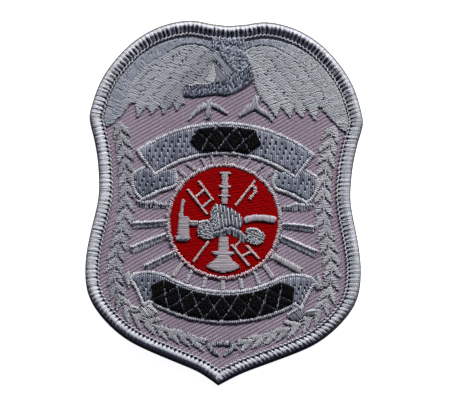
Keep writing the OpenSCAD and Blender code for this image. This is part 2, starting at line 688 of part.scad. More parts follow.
module ladder(rails, rungs)
    color([0.7, 0.66, 0.64]) tool() {
        for (ends = rails) bar(on_disc(ends), rail_w * art);
        for (ends = rungs) bar(on_disc(ends), rung_w * art);
    }
module ladder_upper() ladder(upper_rails, upper_rungs);
module ladder_lower() ladder(lower_rails, lower_rungs);

module pike_pole()
    color([0.7, 0.66, 0.64]) tool() {
        bar(on_disc(pole_ends), pole_w * art);
        strip(rows_on_disc(hook_rows));
    }
module pike_shaft() color([0.7, 0.66, 0.64]) tool() bar(on_disc(shaft_ends), pole_w * art);

module nozzle()
    color([0.7, 0.7, 0.71]) tool() {
        polygon(on_disc(nozzle_line));
        strip(rows_on_disc(spike_rows));
    }
module axe_handle() color([0.64, 0.65, 0.7]) tool() strip(rows_on_disc(handle_rows));
module axe_grip()
    color([0.68, 0.69, 0.73]) translate([0, 0, band_z]) satin(rows_on_disc(grip_rows), satin_h);

twill_ground();
merrowed_border();
medallion_disc();
medallion_ring();
upper_ribbon();
upper_edging();
upper_lozenges();
upper_tail_left();
upper_tail_right();
tail_edging_left();
tail_edging_right();
upper_curl_left();
upper_curl_right();
lower_ribbon();
lower_edging();
lower_lozenges();
lower_fold_left();
lower_fold_right();
knot_left();
knot_right();
knot_end_left();
knot_end_right();
wing_left();
wing_right();
wing_band_left();
wing_band_right();
crest();
neck();
beak();
eagle_body();
leg_left();
leg_right();
laurel_left();
laurel_right();
laurel_tie();
rays_upper();
rays_left();
rays_right();
rays_lower();
helmet_crown();
helmet_front();
helmet_brim();
helmet_rear();
bugle_upper();
bugle_lower();
ladder_upper();
ladder_lower();
pike_pole();
pike_shaft();
nozzle();
axe_handle();
axe_grip();
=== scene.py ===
"""Looks of an embroidered cloth patch in the shape of a fire service shield badge.

Every embroidered area is sewn here from single threads over the area that the CAD node takes up.
Lengths of the patch and its threads are millimetres, and Sewing.build() turns them into metres.
The floor, the light and the camera are placed in metres.
"""
import math

import bpy
import numpy as np
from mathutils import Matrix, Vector


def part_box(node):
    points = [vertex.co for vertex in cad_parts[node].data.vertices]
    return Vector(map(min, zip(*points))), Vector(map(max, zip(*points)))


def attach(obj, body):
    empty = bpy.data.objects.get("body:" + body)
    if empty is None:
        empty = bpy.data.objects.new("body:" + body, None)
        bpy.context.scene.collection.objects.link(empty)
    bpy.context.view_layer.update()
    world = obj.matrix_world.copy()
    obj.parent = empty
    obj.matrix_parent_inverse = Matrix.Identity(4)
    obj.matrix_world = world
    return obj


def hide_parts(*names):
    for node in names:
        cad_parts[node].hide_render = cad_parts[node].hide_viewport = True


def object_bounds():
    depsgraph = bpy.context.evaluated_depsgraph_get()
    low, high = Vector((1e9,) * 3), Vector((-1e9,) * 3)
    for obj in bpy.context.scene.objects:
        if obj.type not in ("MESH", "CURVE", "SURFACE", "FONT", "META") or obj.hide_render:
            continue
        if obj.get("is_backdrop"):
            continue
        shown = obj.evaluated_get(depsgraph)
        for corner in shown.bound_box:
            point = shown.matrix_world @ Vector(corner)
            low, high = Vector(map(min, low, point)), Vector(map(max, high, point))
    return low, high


MM = 0.001
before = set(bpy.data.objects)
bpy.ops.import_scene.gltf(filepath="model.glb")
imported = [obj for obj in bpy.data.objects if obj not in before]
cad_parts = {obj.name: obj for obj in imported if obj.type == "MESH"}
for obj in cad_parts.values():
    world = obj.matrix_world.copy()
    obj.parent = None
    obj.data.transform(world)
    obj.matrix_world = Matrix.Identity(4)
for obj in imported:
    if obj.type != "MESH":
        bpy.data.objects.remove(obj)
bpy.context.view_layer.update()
rng = np.random.default_rng(11)


def node_z(name):
    """Heights of a CAD node's bottom and top"""
    low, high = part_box(name)
    return low.z / MM, high.z / MM


# Heights that the CAD pieces set
GROUND_Z = node_z("twill_ground")[1]
SEAT_Z = node_z("medallion_disc")[0]
FILL_TOP = node_z("medallion_disc")[1]
SATIN_TOP = node_z("rays_left")[1]
EDGING_TOP = node_z("upper_edging")[1]
BAND_Z = node_z("upper_lozenges")[0]

# The CAD part's border width, how far in its flat back begins, the gap between pieces and the edgings' width
BORDER_W = 3.3
BACK_INSET = 0.462
GAP = 0.05
EDGING_W = 0.7
# How far in from the outline the cloth's edge lies, under the border
CLOTH_INSET = BORDER_W - 0.9

# Usual width and height of a thread
THREAD_W = 0.42
THREAD_H = 0.3

# Ribs of the twill: their pitch, their angle and the depth of the grooves, and the pitch of the dots of
# painted shade in them
RIB_PITCH = 0.825
RIB_ANGLE = 30.5
RIB_H = 0.09
DOT_PITCH = 0.5
# Mesh of the twill: rows for each rib, step along a rib, and half the side of the square that it is cut from
RIB_ROWS = 5
YARN_STEP = 0.62
CLOTH_REACH = 58


# Plane geometry

def cad_mesh(node):
    """Triangles and corners of a CAD node"""
    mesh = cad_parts[node].data
    mesh.calc_loop_triangles()
    return [tuple(t.vertices) for t in mesh.loop_triangles], np.array([v.co for v in mesh.vertices]) / MM


def footprint(node):
    """Loops of a CAD node's flat underside, anticlockwise outside and clockwise round holes"""
    triangles, co = cad_mesh(node)
    flat = co[:, 2] < co[:, 2].min() + 0.01
    names, points, spot = {}, [], []
    for p, low in zip(co, flat):
        key = (round(p[0], 3), round(p[1], 3)) if low else None
        if low and key not in names:
            names[key] = len(points)
            points.append(p[:2])
        spot.append(names.get(key, -1))
    edges = set()
    for triangle in triangles:
        a, b, c = (spot[i] for i in triangle)
        if min(a, b, c) >= 0 and len({a, b, c}) == 3:
            edges |= {(b, a), (c, b), (a, c)}
    follow = {a: b for a, b in edges if (b, a) not in edges}
    loops = []
    while follow:
        start, at = follow.popitem()
        loop = [start]
        while at != start and at in follow:
            loop.append(at)
            at = follow.pop(at)
        if len(loop) > 2:
            loops.append(np.array([points[i] for i in loop]))
    return loops


def unit(v):
    return v / np.maximum(np.linalg.norm(v, axis=-1, keepdims=True), 1e-9)


def left_of(v):
    return np.stack([-v[..., 1], v[..., 0]], -1)


def turned(way, degrees):
    """A way in the plane, turned anticlockwise"""
    c, s = math.cos(math.radians(degrees)), math.sin(math.radians(degrees))
    return np.array([way[0] * c - way[1] * s, way[0] * s + way[1] * c])


def raised(xy, z):
    """Points of the plane at one height, or at a height each"""
    return np.concatenate([xy, np.broadcast_to(z, xy.shape[:-1])[..., None]], -1)


def shifts(line, closed=True):
    """Way to move each point so that its two edges move one unit to the left"""
    ahead = np.roll(line, -1, 0) - line
    if not closed:
        ahead[-1] = ahead[-2]
    behind = np.roll(ahead, 1, 0)
    if not closed:
        behind[0] = ahead[0]
    m, k = left_of(unit(behind)), left_of(unit(ahead))
    return (m + k) / (1 + (m * k).sum(1, keepdims=True))


def shifted(line, distance):
    """A closed line moved to its left"""
    return line + shifts(line) * distance


def rounded(line, steps=4):
    """Smooth curve through the points of an open line"""
    line = np.array(line)
    p = np.concatenate([line[:1], line, line[-1:]])
    a, b, c, d = p[:-3], p[1:-2], p[2:-1], p[3:]
    made = []
    for t in np.arange(steps) / steps:
        made.append(0.5 * (2 * b + (c - a) * t + (2 * a - 5 * b + 4 * c - d) * t ** 2
                           + (3 * b - a - 3 * c + d) * t ** 3))
    return np.concatenate([np.stack(made, 1).reshape(-1, line.shape[1]), line[-1:]])


def lengths(line):
    return np.concatenate([[0], np.cumsum(np.linalg.norm(np.diff(line, axis=0), axis=1))])


def along(line, sums, where):
    """Values of a line's columns at distances along it"""
    return np.stack([np.interp(where, sums, line[:, k]) for k in range(line.shape[1])], -1)


class Track:
    """A line and the way to its left, measured along the line that lies a depth to its left"""

    def __init__(self, line, closed=True, depth=0.0):
        push = shifts(line, closed)
        if closed:
            line, push = np.concatenate([line, line[:1]]), np.concatenate([push, push[:1]])
        self.line, self.push = line, push
        self.sums = lengths(line + push * depth)
        self.total = self.sums[-1]

    def at(self, where):
        """Points and ways to the left, at distances along the track"""
        got = along(np.concatenate([self.line, self.push], 1), self.sums, where)
        return got[..., :2], got[..., 2:]

    def place(self, where, depth):
        """Points at distances along a closed track and at depths to its left"""
        point, way = self.at(where % self.total)
        return point + way * np.asarray(depth)[..., None]


def inside(loops, a, b):
    """The parts of the lines a to b inside the loops: starts, ends and each one's line number"""
    p = np.concatenate(loops)
    q = np.concatenate([np.roll(loop, -1, 0) for loop in loops])
    d = b - a
    side_p, side_q = (d[:, :1] * (r[:, 1] - a[:, 1:]) - d[:, 1:] * (r[:, 0] - a[:, :1]) for r in (p, q))
    starts, ends, number = [], [], []
    for i in range(len(a)):
        hit = np.nonzero((side_p[i] >= 0) != (side_q[i] >= 0))[0]
        if not len(hit):
            continue
        share = side_p[i, hit] / (side_p[i, hit] - side_q[i, hit])
        where = p[hit] + (q[hit] - p[hit]) * share[:, None]
        t = np.sort(((where - a[i]) @ d[i]) / (d[i] @ d[i]))
        t = np.clip(t, 0, 1)
        for t0, t1 in zip(t[::2], t[1::2]):
            if t1 > t0:
                starts.append(a[i] + d[i] * t0)
                ends.append(a[i] + d[i] * t1)
                number.append(i)
    return np.array(starts).reshape(-1, 2), np.array(ends).reshape(-1, 2), np.array(number, int)


def hatch(loops, angle, pitch, reach=0.0):
    """Parallel runs across an area, which reach a little over its edge: starts, ends and row numbers"""
    way = turned((1, 0), angle)
    side = left_of(way)
    every = np.concatenate(loops)
    low, high = (every @ side).min(), (every @ side).max()
    rows = np.arange(low + pitch * 0.3, high, pitch)[:, None] * side
    near, far = (every @ way).min() - 1, (every @ way).max() + 1
    starts, ends, number = inside(loops, rows + near * way, rows + far * way)
    over = unit(ends - starts) * reach
    return starts - over, ends + over, number


def grid_faces(rows, columns):
    r, c = np.meshgrid(np.arange(rows - 1), np.arange(columns - 1), indexing="ij")
    first = (r * columns + c).ravel()
    return np.stack([first, first + 1, first + columns + 1, first + columns], -1)


# Threads

# Forms of a stitch: places along it, and its height there
SATIN = np.array([(0, 0.05, 0.16, 0.34, 0.5, 0.66, 0.84, 0.95, 1),
                  (0, 0.5, 0.82, 0.97, 1, 0.97, 0.82, 0.5, 0)])
FILL = np.array([(0, 0.08, 0.24, 0.5, 0.76, 0.92, 1), (0, 0.62, 0.93, 1, 0.93, 0.62, 0)])
# Round, as the edgings and the other cords
CORD = np.array([(0, 0.07, 0.2, 0.35, 0.5, 0.65, 0.8, 0.93, 1), (0, 0.36, 0.7, 0.93, 1, 0.93, 0.7, 0.36, 0)])
# Highest near the far end, as the side rays, the curls and the helmet's brim
RIDGE = np.array([(0, 0.16, 0.36, 0.56, 0.72, 0.84, 0.93, 0.98, 1),
                  (0, 0.2, 0.28, 0.4, 0.76, 1, 0.9, 0.45, 0)])
# Rising slowly to the far end, as feathers that lie over each other
FEATHER = np.array([(0, 0.12, 0.3, 0.55, 0.78, 0.92, 1), (0, 0.5, 0.74, 0.93, 1, 0.72, 0)])
# Long, and low only at the ends
LONG = np.array([(0, 0.03, 0.08, 0.2, 0.5, 0.78, 0.88, 0.95, 1), (0, 0.6, 0.9, 0.97, 0.96, 1, 0.9, 0.5, 0)])


def stitches(a, b, foot, top, form=SATIN, jitter=0.05, rough=0.018):
    """Threads from a to b that rise from foot to top. Jitter and rough are how uneven ends and tops are."""
    n = len(a)
    top = np.asarray(top) + rng.normal(0, rough, n)
    a = a + rng.normal(0, jitter, (n, 2)) * 0.5 + unit(a - b) * rng.normal(0, jitter, (n, 1))
    b = b + rng.normal(0, jitter, (n, 2)) * 0.5 + unit(b - a) * rng.normal(0, jitter, (n, 1))
    share, rise = form
    xy = a[:, None] + (b - a)[:, None] * share[None, :, None]
    return raised(xy, foot + (top[:, None] - foot) * rise[None])


def fill_stitches(runs, foot, top, length, phases, slant=0, through=(0, 0), ragged=0.06, slits=0.0, form=FILL,
                  jitter=0.05, rough=0.018):
    """Runs cut into stitches at seams, and each stitch's column and row. Phases shift the seams from row to
    row, in lengths. Slant leans them, in degrees from square, and through is a point on one. Ragged is how
    unevenly they lie, and slits is their mean gap."""
    starts, ends, number = runs
    way = unit(ends[0] - starts[0])
    side = left_of(way)
    lean = math.tan(math.radians(slant))
    origin = np.array(through) @ way - lean * (np.array(through) @ side)
    # No stitch is shorter than this
    least = 0.3 * length
    a, b, columns, rows = [], [], [], []
    for s, e, k in zip(starts, ends, number):
        size = np.linalg.norm(e - s)
        at = s @ way
        shift = origin + lean * (s @ side) + phases[k % len(phases)] * length
        cut = math.floor((at - shift) / length)
        cuts, ids = [at], [cut]
        while True:
            cut += 1
            x = cut * length + shift + rng.normal(0, ragged * length)
            if x >= at + size - least:
                break
            if x > cuts[-1] + least:
                cuts.append(x)
                ids.append(cut)
        cuts.append(at + size)
        cuts = np.array(cuts)[:, None] - at
        a.append(s + way * cuts[:-1])
        b.append(s + way * cuts[1:])
        columns += ids
        rows += [k] * len(ids)
    a, b = np.concatenate(a), np.concatenate(b)
    if slits:
        room = 0.3 * np.linalg.norm(b - a, axis=1)
        a = a + way * np.minimum(slits * rng.gamma(4, 0.25, len(a)), room)[:, None]
        foot = foot + (top - foot) * rng.uniform(0, 0.3, (len(a), 1))
    return stitches(a, b, foot, top, form, jitter, rough), np.array(columns), np.array(rows)


def place_in_scene(name, data):
    made = bpy.data.objects.new(name, data)
    bpy.context.scene.collection.objects.link(made)
    return made


class Sewing:
    """Threads and plain surfaces gathered into one mesh"""

    def __init__(self, name):
        self.name, self.vertices, self.faces = name, [], []
        self.uv, self.tone, self.kind, self.count = [], [], [], 0
        self.materials = {}

    def threads(self, paths, material, width=THREAD_W, height=THREAD_H, sides=6, taper=0.7, tone=None,
                side=None):
        """Tubes along paths, an array of threads, points and x, y, z. Side is each thread's flat way."""
        if not len(paths):
            return
        n, k = paths.shape[:2]
        way = unit(np.gradient(paths, axis=1))
        side = unit(raised(left_of(way), 0)) if side is None else np.repeat(side[:, None], k, 1)
        up = unit(np.cross(way, side))
        angles = (np.arange(sides) + 0.5) / sides * 2 * math.pi
        ends = np.ones(k)
        ends[0] = ends[-1] = taper
        wide = np.reshape(width, (-1, 1)) * ends / 2
        high = height * ends / 2
        ring = (side[:, :, None] * (wide[..., None] * np.sin(angles))[..., None]
                + up[:, :, None] * (high[:, None] * np.cos(angles))[..., None])
        points = (paths[:, :, None] + ring).reshape(-1, 3)
        m = np.arange(sides)[None, None]
        base = np.arange(n)[:, None, None] * k * sides + np.arange(k - 1)[None, :, None] * sides
        follow = base + (m + 1) % sides
        quads = np.stack([base + m, follow, follow + sides, base + m + sides], -1).reshape(-1, 4)
        step = np.linalg.norm(np.diff(paths, axis=1), axis=2)
        run = np.concatenate([np.zeros((n, 1)), np.cumsum(step, 1)], 1) + rng.random((n, 1)) * 5
        u = np.stack([run[:, :-1], run[:, :-1], run[:, 1:], run[:, 1:]], -1)[:, :, None]
        v = np.stack([m, m + 1, m + 1, m], -1) / sides
        uv = np.stack(np.broadcast_arrays(u, v), -1).reshape(-1, 2)
        shade = rng.random(n) if tone is None else tone
        self.add(points, quads, uv, np.repeat(shade, k * sides), material)

    def add(self, points, quads, uv, tone, material):
        self.vertices.append(points)
        self.faces.append(quads + self.count)
        self.count += len(points)
        self.uv.append(uv)
        self.tone.append(tone)
        self.kind.append(np.full(len(quads), self.materials.setdefault(material, len(self.materials))))

    def plain(self, points, quads, material):
        """A surface without threads"""
        self.add(points, quads, np.zeros((len(quads) * 4, 2)), np.full(len(points), 0.5), material)

    def strip(self, track, section, material):
        """A plain surface along a track, from the depths and heights of its section"""
        points = np.stack([raised(track.line + track.push * depth, z) for depth, z in section], 1)
        self.plain(points.reshape(-1, 3), grid_faces(len(track.line), len(section)), material)

    def underlay(self, material, sink, node):
        """Copy of a CAD node under the threads, lowered so that the threads cover it"""
        triangles, co = cad_mesh(node)
        low = co[:, 2].min()
        co[:, 2] = low + (co[:, 2] - low) * sink
        self.plain(co, np.array([(a, b, c, c) for a, b, c in triangles]), material)

    def build(self, base=None, sink=0.5, nodes=None):
        """The mesh object, over an underlay if it has a base. It stands for its CAD node or those given."""
        nodes = nodes or [self.name]
        if base:
            self.underlay(base, sink, nodes[0])
        points = np.concatenate(self.vertices) * MM
        quads = np.concatenate(self.faces)
        uv = np.concatenate(self.uv).reshape(-1, 4, 2)
        kind = np.concatenate(self.kind)
        # A face whose last two corners are the same is a triangle
        is_quad = quads[:, 2] != quads[:, 3]
        keep = np.ones(quads.shape, bool)
        keep[:, 3] = is_quad
        size = keep.sum(1)
        mesh = bpy.data.meshes.new(self.name)
        mesh.vertices.add(len(points))
        mesh.vertices.foreach_set("co", points.astype(np.float32).ravel())
        mesh.loops.add(int(size.sum()))
        mesh.loops.foreach_set("vertex_index", quads[keep].astype(np.int32))
        mesh.polygons.add(len(quads))
        mesh.polygons.foreach_set("loop_start", np.concatenate([[0], np.cumsum(size)[:-1]]).astype(np.int32))
        mesh.polygons.foreach_set("material_index", kind.astype(np.int32))
        mesh.polygons.foreach_set("use_smooth", is_quad)
        mesh.uv_layers.new(name="Thread").data.foreach_set("uv", uv[keep].astype(np.float32).ravel())
        tone = mesh.attributes.new("tone", "FLOAT", "POINT")
        tone.data.foreach_set("value", np.concatenate(self.tone).astype(np.float32))
        for material in self.materials:
            mesh.materials.append(material)
        mesh.update()
        mesh.validate()
        piece = place_in_scene(self.name, mesh)
        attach(piece, "root")
        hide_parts(*nodes)
        return piece


# Materials

# Noise scales, for a metre: wear along the threads, yarns of the cloth, and its blotches
WEAR_SCALE = 260
YARN_SCALE = 1500
BLOTCH_SCALE = 90
# Turns of the plies for each millimetre of thread
PLY_TURNS = 1.1


def set_inputs(tree, node, inputs):
    """Constants for a node's inputs, and links from other nodes"""
    for key, value in inputs.items():
        if isinstance(value, bpy.types.NodeSocket):
            tree.links.new(value, node.inputs[key])
        else:
            node.inputs[key].default_value = value


def add_node(tree, kind, inputs, **settings):
    node = tree.nodes.new(kind)
    for key, value in settings.items():
        setattr(node, key, value)
    set_inputs(tree, node, inputs)
    return node.outputs


def node_material(name):
    material = bpy.data.materials.new(name)
    material.use_nodes = True
    tree = material.node_tree
    return material, tree, tree.nodes["Principled BSDF"]


def math_node(tree, operation, *values):
    return add_node(tree, "ShaderNodeMath", dict(enumerate(values)), operation=operation)[0]


def mix_colour(tree, share, low, high):
    inputs = {"Factor": share, "A": (*low, 1), "B": (*high, 1)}
    return add_node(tree, "ShaderNodeMix", inputs, data_type="RGBA")["Result"]


def object_coords(tree):
    return add_node(tree, "ShaderNodeTexCoord", {})["Object"]


def mapped(tree, source, degrees, scale=(1, 1, 1)):
    """Coordinates turned about Z and scaled"""
    inputs = {"Rotation": (0, 0, math.radians(degrees)), "Scale": scale, "Vector": source}
    return add_node(tree, "ShaderNodeMapping", inputs)["Vector"]


def noise(tree, scale, detail, source):
    return add_node(tree, "ShaderNodeTexNoise", {"Scale": scale, "Detail": detail, "Vector": source})["Fac"]


def bump(tree, height, strength, distance):
    inputs = {"Strength": strength, "Distance": distance * MM, "Height": height}
    return add_node(tree, "ShaderNodeBump", inputs)["Normal"]


def thread(name, low, high, roughness=0.42, twist=0.3, gloss=0.5):
    """Embroidery thread of twisted plies, with a tone for each stitch from its low colour to its high one"""
    material, tree, shader = node_material(name)
    tone = add_node(tree, "ShaderNodeAttribute", {}, attribute_name="tone")["Fac"]
    wear = noise(tree, WEAR_SCALE, 2, object_coords(tree))
    share = math_node(tree, "ADD", math_node(tree, "MULTIPLY", tone, 0.6),
                      math_node(tree, "MULTIPLY", wear, 0.4))
    uv = add_node(tree, "ShaderNodeUVMap", {}, uv_map="Thread")["UV"]
    split = add_node(tree, "ShaderNodeSeparateXYZ", {0: uv})
    turn = math_node(tree, "ADD", math_node(tree, "MULTIPLY", split["X"], PLY_TURNS), split["Y"])
    wave = math_node(tree, "SINE", math_node(tree, "MULTIPLY", turn, 4 * math.pi))
    set_inputs(tree, shader, {"Base Color": mix_colour(tree, share, low, high), "Roughness": roughness,
                              "Specular IOR Level": gloss, "Normal": bump(tree, wave, twist, 0.05)})
    return material


def painted_groove_shade(tree, coords):
    """Painted shade in the gaps between the yarns, along the grooves of the twill: 0 to 1"""
    split = add_node(tree, "ShaderNodeSeparateXYZ", {0: mapped(tree, coords, -RIB_ANGLE)})
    waves = []
    for place, step, half in (("X", DOT_PITCH, 0.5), ("Y", RIB_PITCH, -0.5)):
        phase = math_node(tree, "MULTIPLY", split[place], 2 * math.pi / (step * MM))
        waves.append(math_node(tree, "MULTIPLY_ADD", math_node(tree, "COSINE", phase), half, 0.5))
    return math_node(tree, "MULTIPLY", *waves)


def cloth(name, low, high, groove_shade=0.0):
    """Woven cloth. Its last argument is how dark the painted shade in the gaps between the yarns is."""
    material, tree, shader = node_material(name)
    coords = object_coords(tree)
    weave = noise(tree, YARN_SCALE, 2, mapped(tree, coords, 12, (1, 4, 1)))
    blotch = noise(tree, BLOTCH_SCALE, 3, coords)
    share = math_node(tree, "ADD", math_node(tree, "MULTIPLY_ADD", weave, 1.3, -0.35),
                      math_node(tree, "MULTIPLY", blotch, 0.4))
    if groove_shade:
        # Painted shade: the colour darkens in dots along the grooves
        shade_in_gaps = math_node(tree, "MULTIPLY", painted_groove_shade(tree, coords), groove_shade)
        share = math_node(tree, "SUBTRACT", share, shade_in_gaps)
    set_inputs(tree, shader, {"Base Color": mix_colour(tree, share, low, high), "Roughness": 0.75,
                              "Specular IOR Level": 0.3, "Normal": bump(tree, weave, 0.6, 0.08)})
    return material


# Finishes of some threads: roughness, depth of the twist, gloss
SHINY = (0.36, 0.3, 0.7)
DULL = (0.9, 0, 0.1)

silk = thread("border_silk", (0.4, 0.415, 0.475), (0.73, 0.745, 0.82), 0.45, 0.15, 0.4)
# Seam thread, darker than the plies as painted shade where it shows between the beads' feet
seam_shade_silk = thread("seam_shade_thread", (0.06, 0.07, 0.1), (0.16, 0.18, 0.23), 0.6, 0.3, 0.2)
silver = thread("silver_thread", (0.28, 0.295, 0.335), (0.5, 0.515, 0.565))
dawn = thread("band_thread", (0.2, 0.225, 0.285), (0.56, 0.6, 0.7))
steel = thread("steel_thread", (0.15, 0.17, 0.225), (0.46, 0.5, 0.58))
slate = thread("slate_thread", (0.09, 0.105, 0.155), (0.43, 0.455, 0.555), *SHINY)
dusk = thread("dusk_thread", (0.045, 0.055, 0.09), (0.38, 0.42, 0.54), *SHINY)
pale = thread("ray_thread", (0.24, 0.21, 0.25), (0.46, 0.42, 0.46))
pale_low = thread("low_ray_thread", (0.34, 0.33, 0.36), (0.58, 0.57, 0.61))
ray_silk = thread("side_ray_thread", (0.34, 0.34, 0.395), (0.82, 0.82, 0.9))
leafy = thread("leaf_thread", (0.2, 0.205, 0.245), (0.53, 0.535, 0.58))
lit_leaf = thread("lit_leaf_thread", (0.24, 0.25, 0.285), (0.64, 0.65, 0.7))
bright = thread("bright_thread", (0.38, 0.4, 0.44), (0.6, 0.61, 0.66))
rose = thread("rose_thread", (0.42, 0.33, 0.34), (0.68, 0.55, 0.56))
red = thread("red_thread", (0.27, 0.001, 0.002), (0.32, 0.001, 0.002), 0.7, 0.06, 0.02)
black = thread("black_thread", (0.001, 0.001, 0.001), (0.004, 0.004, 0.004), 0.6, 0.2, 0.1)
# Near-black underlay that shows in the gaps between stitches as painted shade, and a paler one where that
# shade is lighter
shade_underlay = thread("shade_underlay_thread", (0.02, 0.022, 0.035), (0.035, 0.038, 0.055), *DULL)
pale_shade_underlay = thread("pale_shade_underlay_thread", (0.05, 0.05, 0.065), (0.08, 0.08, 0.1), *DULL)
edging_silk = thread("edging_thread", (0.25, 0.255, 0.3), (0.66, 0.665, 0.72))
# Wing thread in a brighter copy for the right wing and a darker one for the left: painted light and painted
# shade
lit_feather_silk = thread("feather_thread", (0.27, 0.285, 0.325), (0.58, 0.595, 0.645))
shaded_feather_silk = thread("shaded_wing_thread", (0.19, 0.2, 0.24), (0.53, 0.55, 0.61))
rosy = thread("ring_thread", (0.33, 0.27, 0.31), (0.62, 0.53, 0.58))
# Brighter, redder copy of the ring thread for the lower arc: painted light and a painted reflection of the
# red disc
rosy_lit = thread("lit_lower_ring_thread", (0.5, 0.31, 0.35), (0.82, 0.58, 0.63))
face_silk = thread("face_thread", (0.12, 0.13, 0.165), (0.37, 0.395, 0.455))
crest_silk = thread("crest_thread", (0.1, 0.118, 0.175), (0.48, 0.53, 0.65), *SHINY)
slate_tail = thread("tail_thread", (0.085, 0.1, 0.145), (0.375, 0.4, 0.495), *SHINY)
knot_slate = thread("knot_thread", (0.1, 0.11, 0.14), (0.38, 0.39, 0.45), *SHINY)
# Bright thread for the hems along upper edges, as painted highlights, and for the crown's light ridges
hem_silk = thread("hem_thread", (0.4, 0.41, 0.45), (0.68, 0.69, 0.74))
mauve = thread("mauve_thread", (0.33, 0.295, 0.335), (0.54, 0.475, 0.535))
under_red = thread("underlay_red", (0.1, 0, 0), (0.14, 0, 0), *DULL)
twill = cloth("twill", (0.165, 0.12, 0.175), (0.55, 0.46, 0.555), 0.9)
# Near-black thread that paints shade: in the needle holes, in dots of shadow by the border and in the slit
# before the eagle's neck
hole_shade = thread("hole_shade_thread", (0.003, 0.003, 0.004), (0.006, 0.006, 0.008), 0.9, 0, 0.05)
# Dark thread of the lip: the patch's cut edge, partly painted shadow along the lower edges
rim_and_shadow = thread("rim_and_shadow_thread", (0.13, 0.125, 0.12), (0.2, 0.195, 0.19), *DULL)
chain_silk = thread("chain_thread", (0.17, 0.175, 0.215), (0.88, 0.85, 0.91))
backing = cloth("backing", (0.6, 0.6, 0.6), (0.74, 0.74, 0.73))


# Ground

# The patch's outline, from its lowest point up its right side
line = max(footprint("merrowed_border"), key=lambda p: np.ptp(p[:, 0]))
line = np.roll(line, -int(line[:, 1].argmin()), 0)
if line[2, 0] < 0:
    line = np.roll(line[::-1], 1, 0)
line = shifted(line, -BACK_INSET)
outline = rounded(np.concatenate([line, line[:1]]))[:-1]
cloth_edge = shifted(outline, CLOTH_INSET)


def in_loop(points, loop):
    """Which points lie inside a loop"""
    odd = np.zeros(len(points), bool)
    for a, b in zip(loop, np.roll(loop, -1, 0)):
        crosses = (a[1] > points[:, 1]) != (b[1] > points[:, 1])
        x = a[0] + (points[:, 1] - a[1]) / (b[1] - a[1] + 1e-12) * (b[0] - a[0])
        odd ^= crosses & (points[:, 0] < x)
    return odd


# Cloth in ribs that sway a little, with uneven yarns
way = turned((1, 0), RIB_ANGLE)
u = np.arange(-CLOTH_REACH, CLOTH_REACH, YARN_STEP)
v = np.arange(-CLOTH_REACH, CLOTH_REACH, RIB_PITCH / RIB_ROWS)
vv, uu = np.meshgrid(v, u, indexing="ij")
sway = 0.05 * np.sin(uu * 0.9 + vv * 0.4) + 0.04 * np.sin(uu * 0.37 - vv * 0.23)
xy = uu[..., None] * way + (vv + sway)[..., None] * left_of(way)
phase = vv / RIB_PITCH * 2 * math.pi
z = GROUND_Z - RIB_H * (0.5 - 0.5 * np.cos(phase)) + 0.012 * np.sin(uu * 7 + vv * 11)
points = raised(xy, z).reshape(-1, 3)
quads = grid_faces(len(v), len(u))
quads = quads[in_loop(points[:, :2], cloth_edge)[quads].all(1)]
used, spot = np.unique(quads, return_inverse=True)
sewing = Sewing("twill_ground")
sewing.plain(points[used], spot.reshape(-1, 4), twill)
ground = sewing.build()
# Plain stiff backing under the twill, seen from behind
Sewing("twill_backing").build(backing, 0.86, ["twill_ground"])


# Border

BEAD_PITCH = 1.07
# Depths in from the outline: the one where the beads are spaced, and the one that their outer plies draw near
BEAD_LINE = 1.6
CREST = 1.3
# The way of a ply over the edge, from its foot outside to its needle hole: depth, height, spread.
# The roll sits further in along the patch's lower edges than along the upper ones, which bares more of the
# dark lip there as painted shadow.
WRAP_HIGH = np.array([
    (0.66, 0.34, 1), (0.5, 0.72, 1), (0.48, 1.12, 1), (0.54, 1.46, 1), (0.7, 1.78, 1), (0.88, 2.02, 1),
    (1.08, 2.14, 1), (1.28, 2.11, 0.98), (1.5, 1.92, 0.94), (1.82, 1.62, 0.86), (2.2, 1.4, 0.72),
    (2.6, 1.2, 0.45)
])
WRAP_SIDE = np.array([
    (0.5, 0.34, 1), (0.36, 0.72, 1), (0.32, 1.12, 1), (0.38, 1.5, 1), (0.56, 1.84, 1), (0.82, 2.02, 1),
    (1.12, 2.1, 1), (1.42, 2.1, 1), (1.75, 2, 0.98), (2.08, 1.82, 0.92), (2.5, 1.6, 0.76), (3, 1.42, 0.36)
])
WRAP_LOW = np.array([
    (1, 0.34, 1), (0.86, 0.7, 1), (0.84, 1.1, 1), (0.92, 1.36, 1), (1.1, 1.58, 1), (1.36, 1.8, 1),
    (1.62, 1.97, 1), (1.82, 2.05, 1), (2.06, 2.02, 0.96), (2.3, 1.9, 0.86), (2.55, 1.7, 0.7),
    (2.84, 1.42, 0.45)
])
# Where each ply lies along its bead, and its width and height
PLIES = (-0.4, -0.13, 0.13, 0.4)
PLY_W = 0.34
PLY_H = 0.28
# How far a bead leans along the border for each millimetre inwards, and how much more at the lower right
BEAD_SLANT = -0.04
FLANK_SLANT = -0.5
# Needle holes, between the beads' feet: depths and width. They are near-black threads, as painted shade in
# the holes. The depths of a second row on the right side, dark dots of painted shadow on the twill.
HOLE = (2.6, 2.87, 3.02, 3.12)
HOLE_W = 0.42
SECOND_HOLE = (3.5, 3.85)
# Depth and height of the core under the plies, of the seam along their feet, and of the lip round the back.
# The core and the seam are darker than the plies, as painted shade where they show between the beads. The lip
# is the patch's dark cut edge, and its wider bared strip along the lower edges stands as painted shadow.
CORE = ((1.3, 0.15), (0.98, 0.35), (0.95, 1.1), (1.15, 1.6), (1.5, 1.9), (2.1, 1.5))
SEAM = ((1.9, 1.4), (2.3, 1.38), (2.9, 1.33), (3.5, 1.31))
LIP = ((0.9, 0.2), (0.04, 0.3), (0.0, 0.42), (0.06, 0.5), (1.0, 0.5))
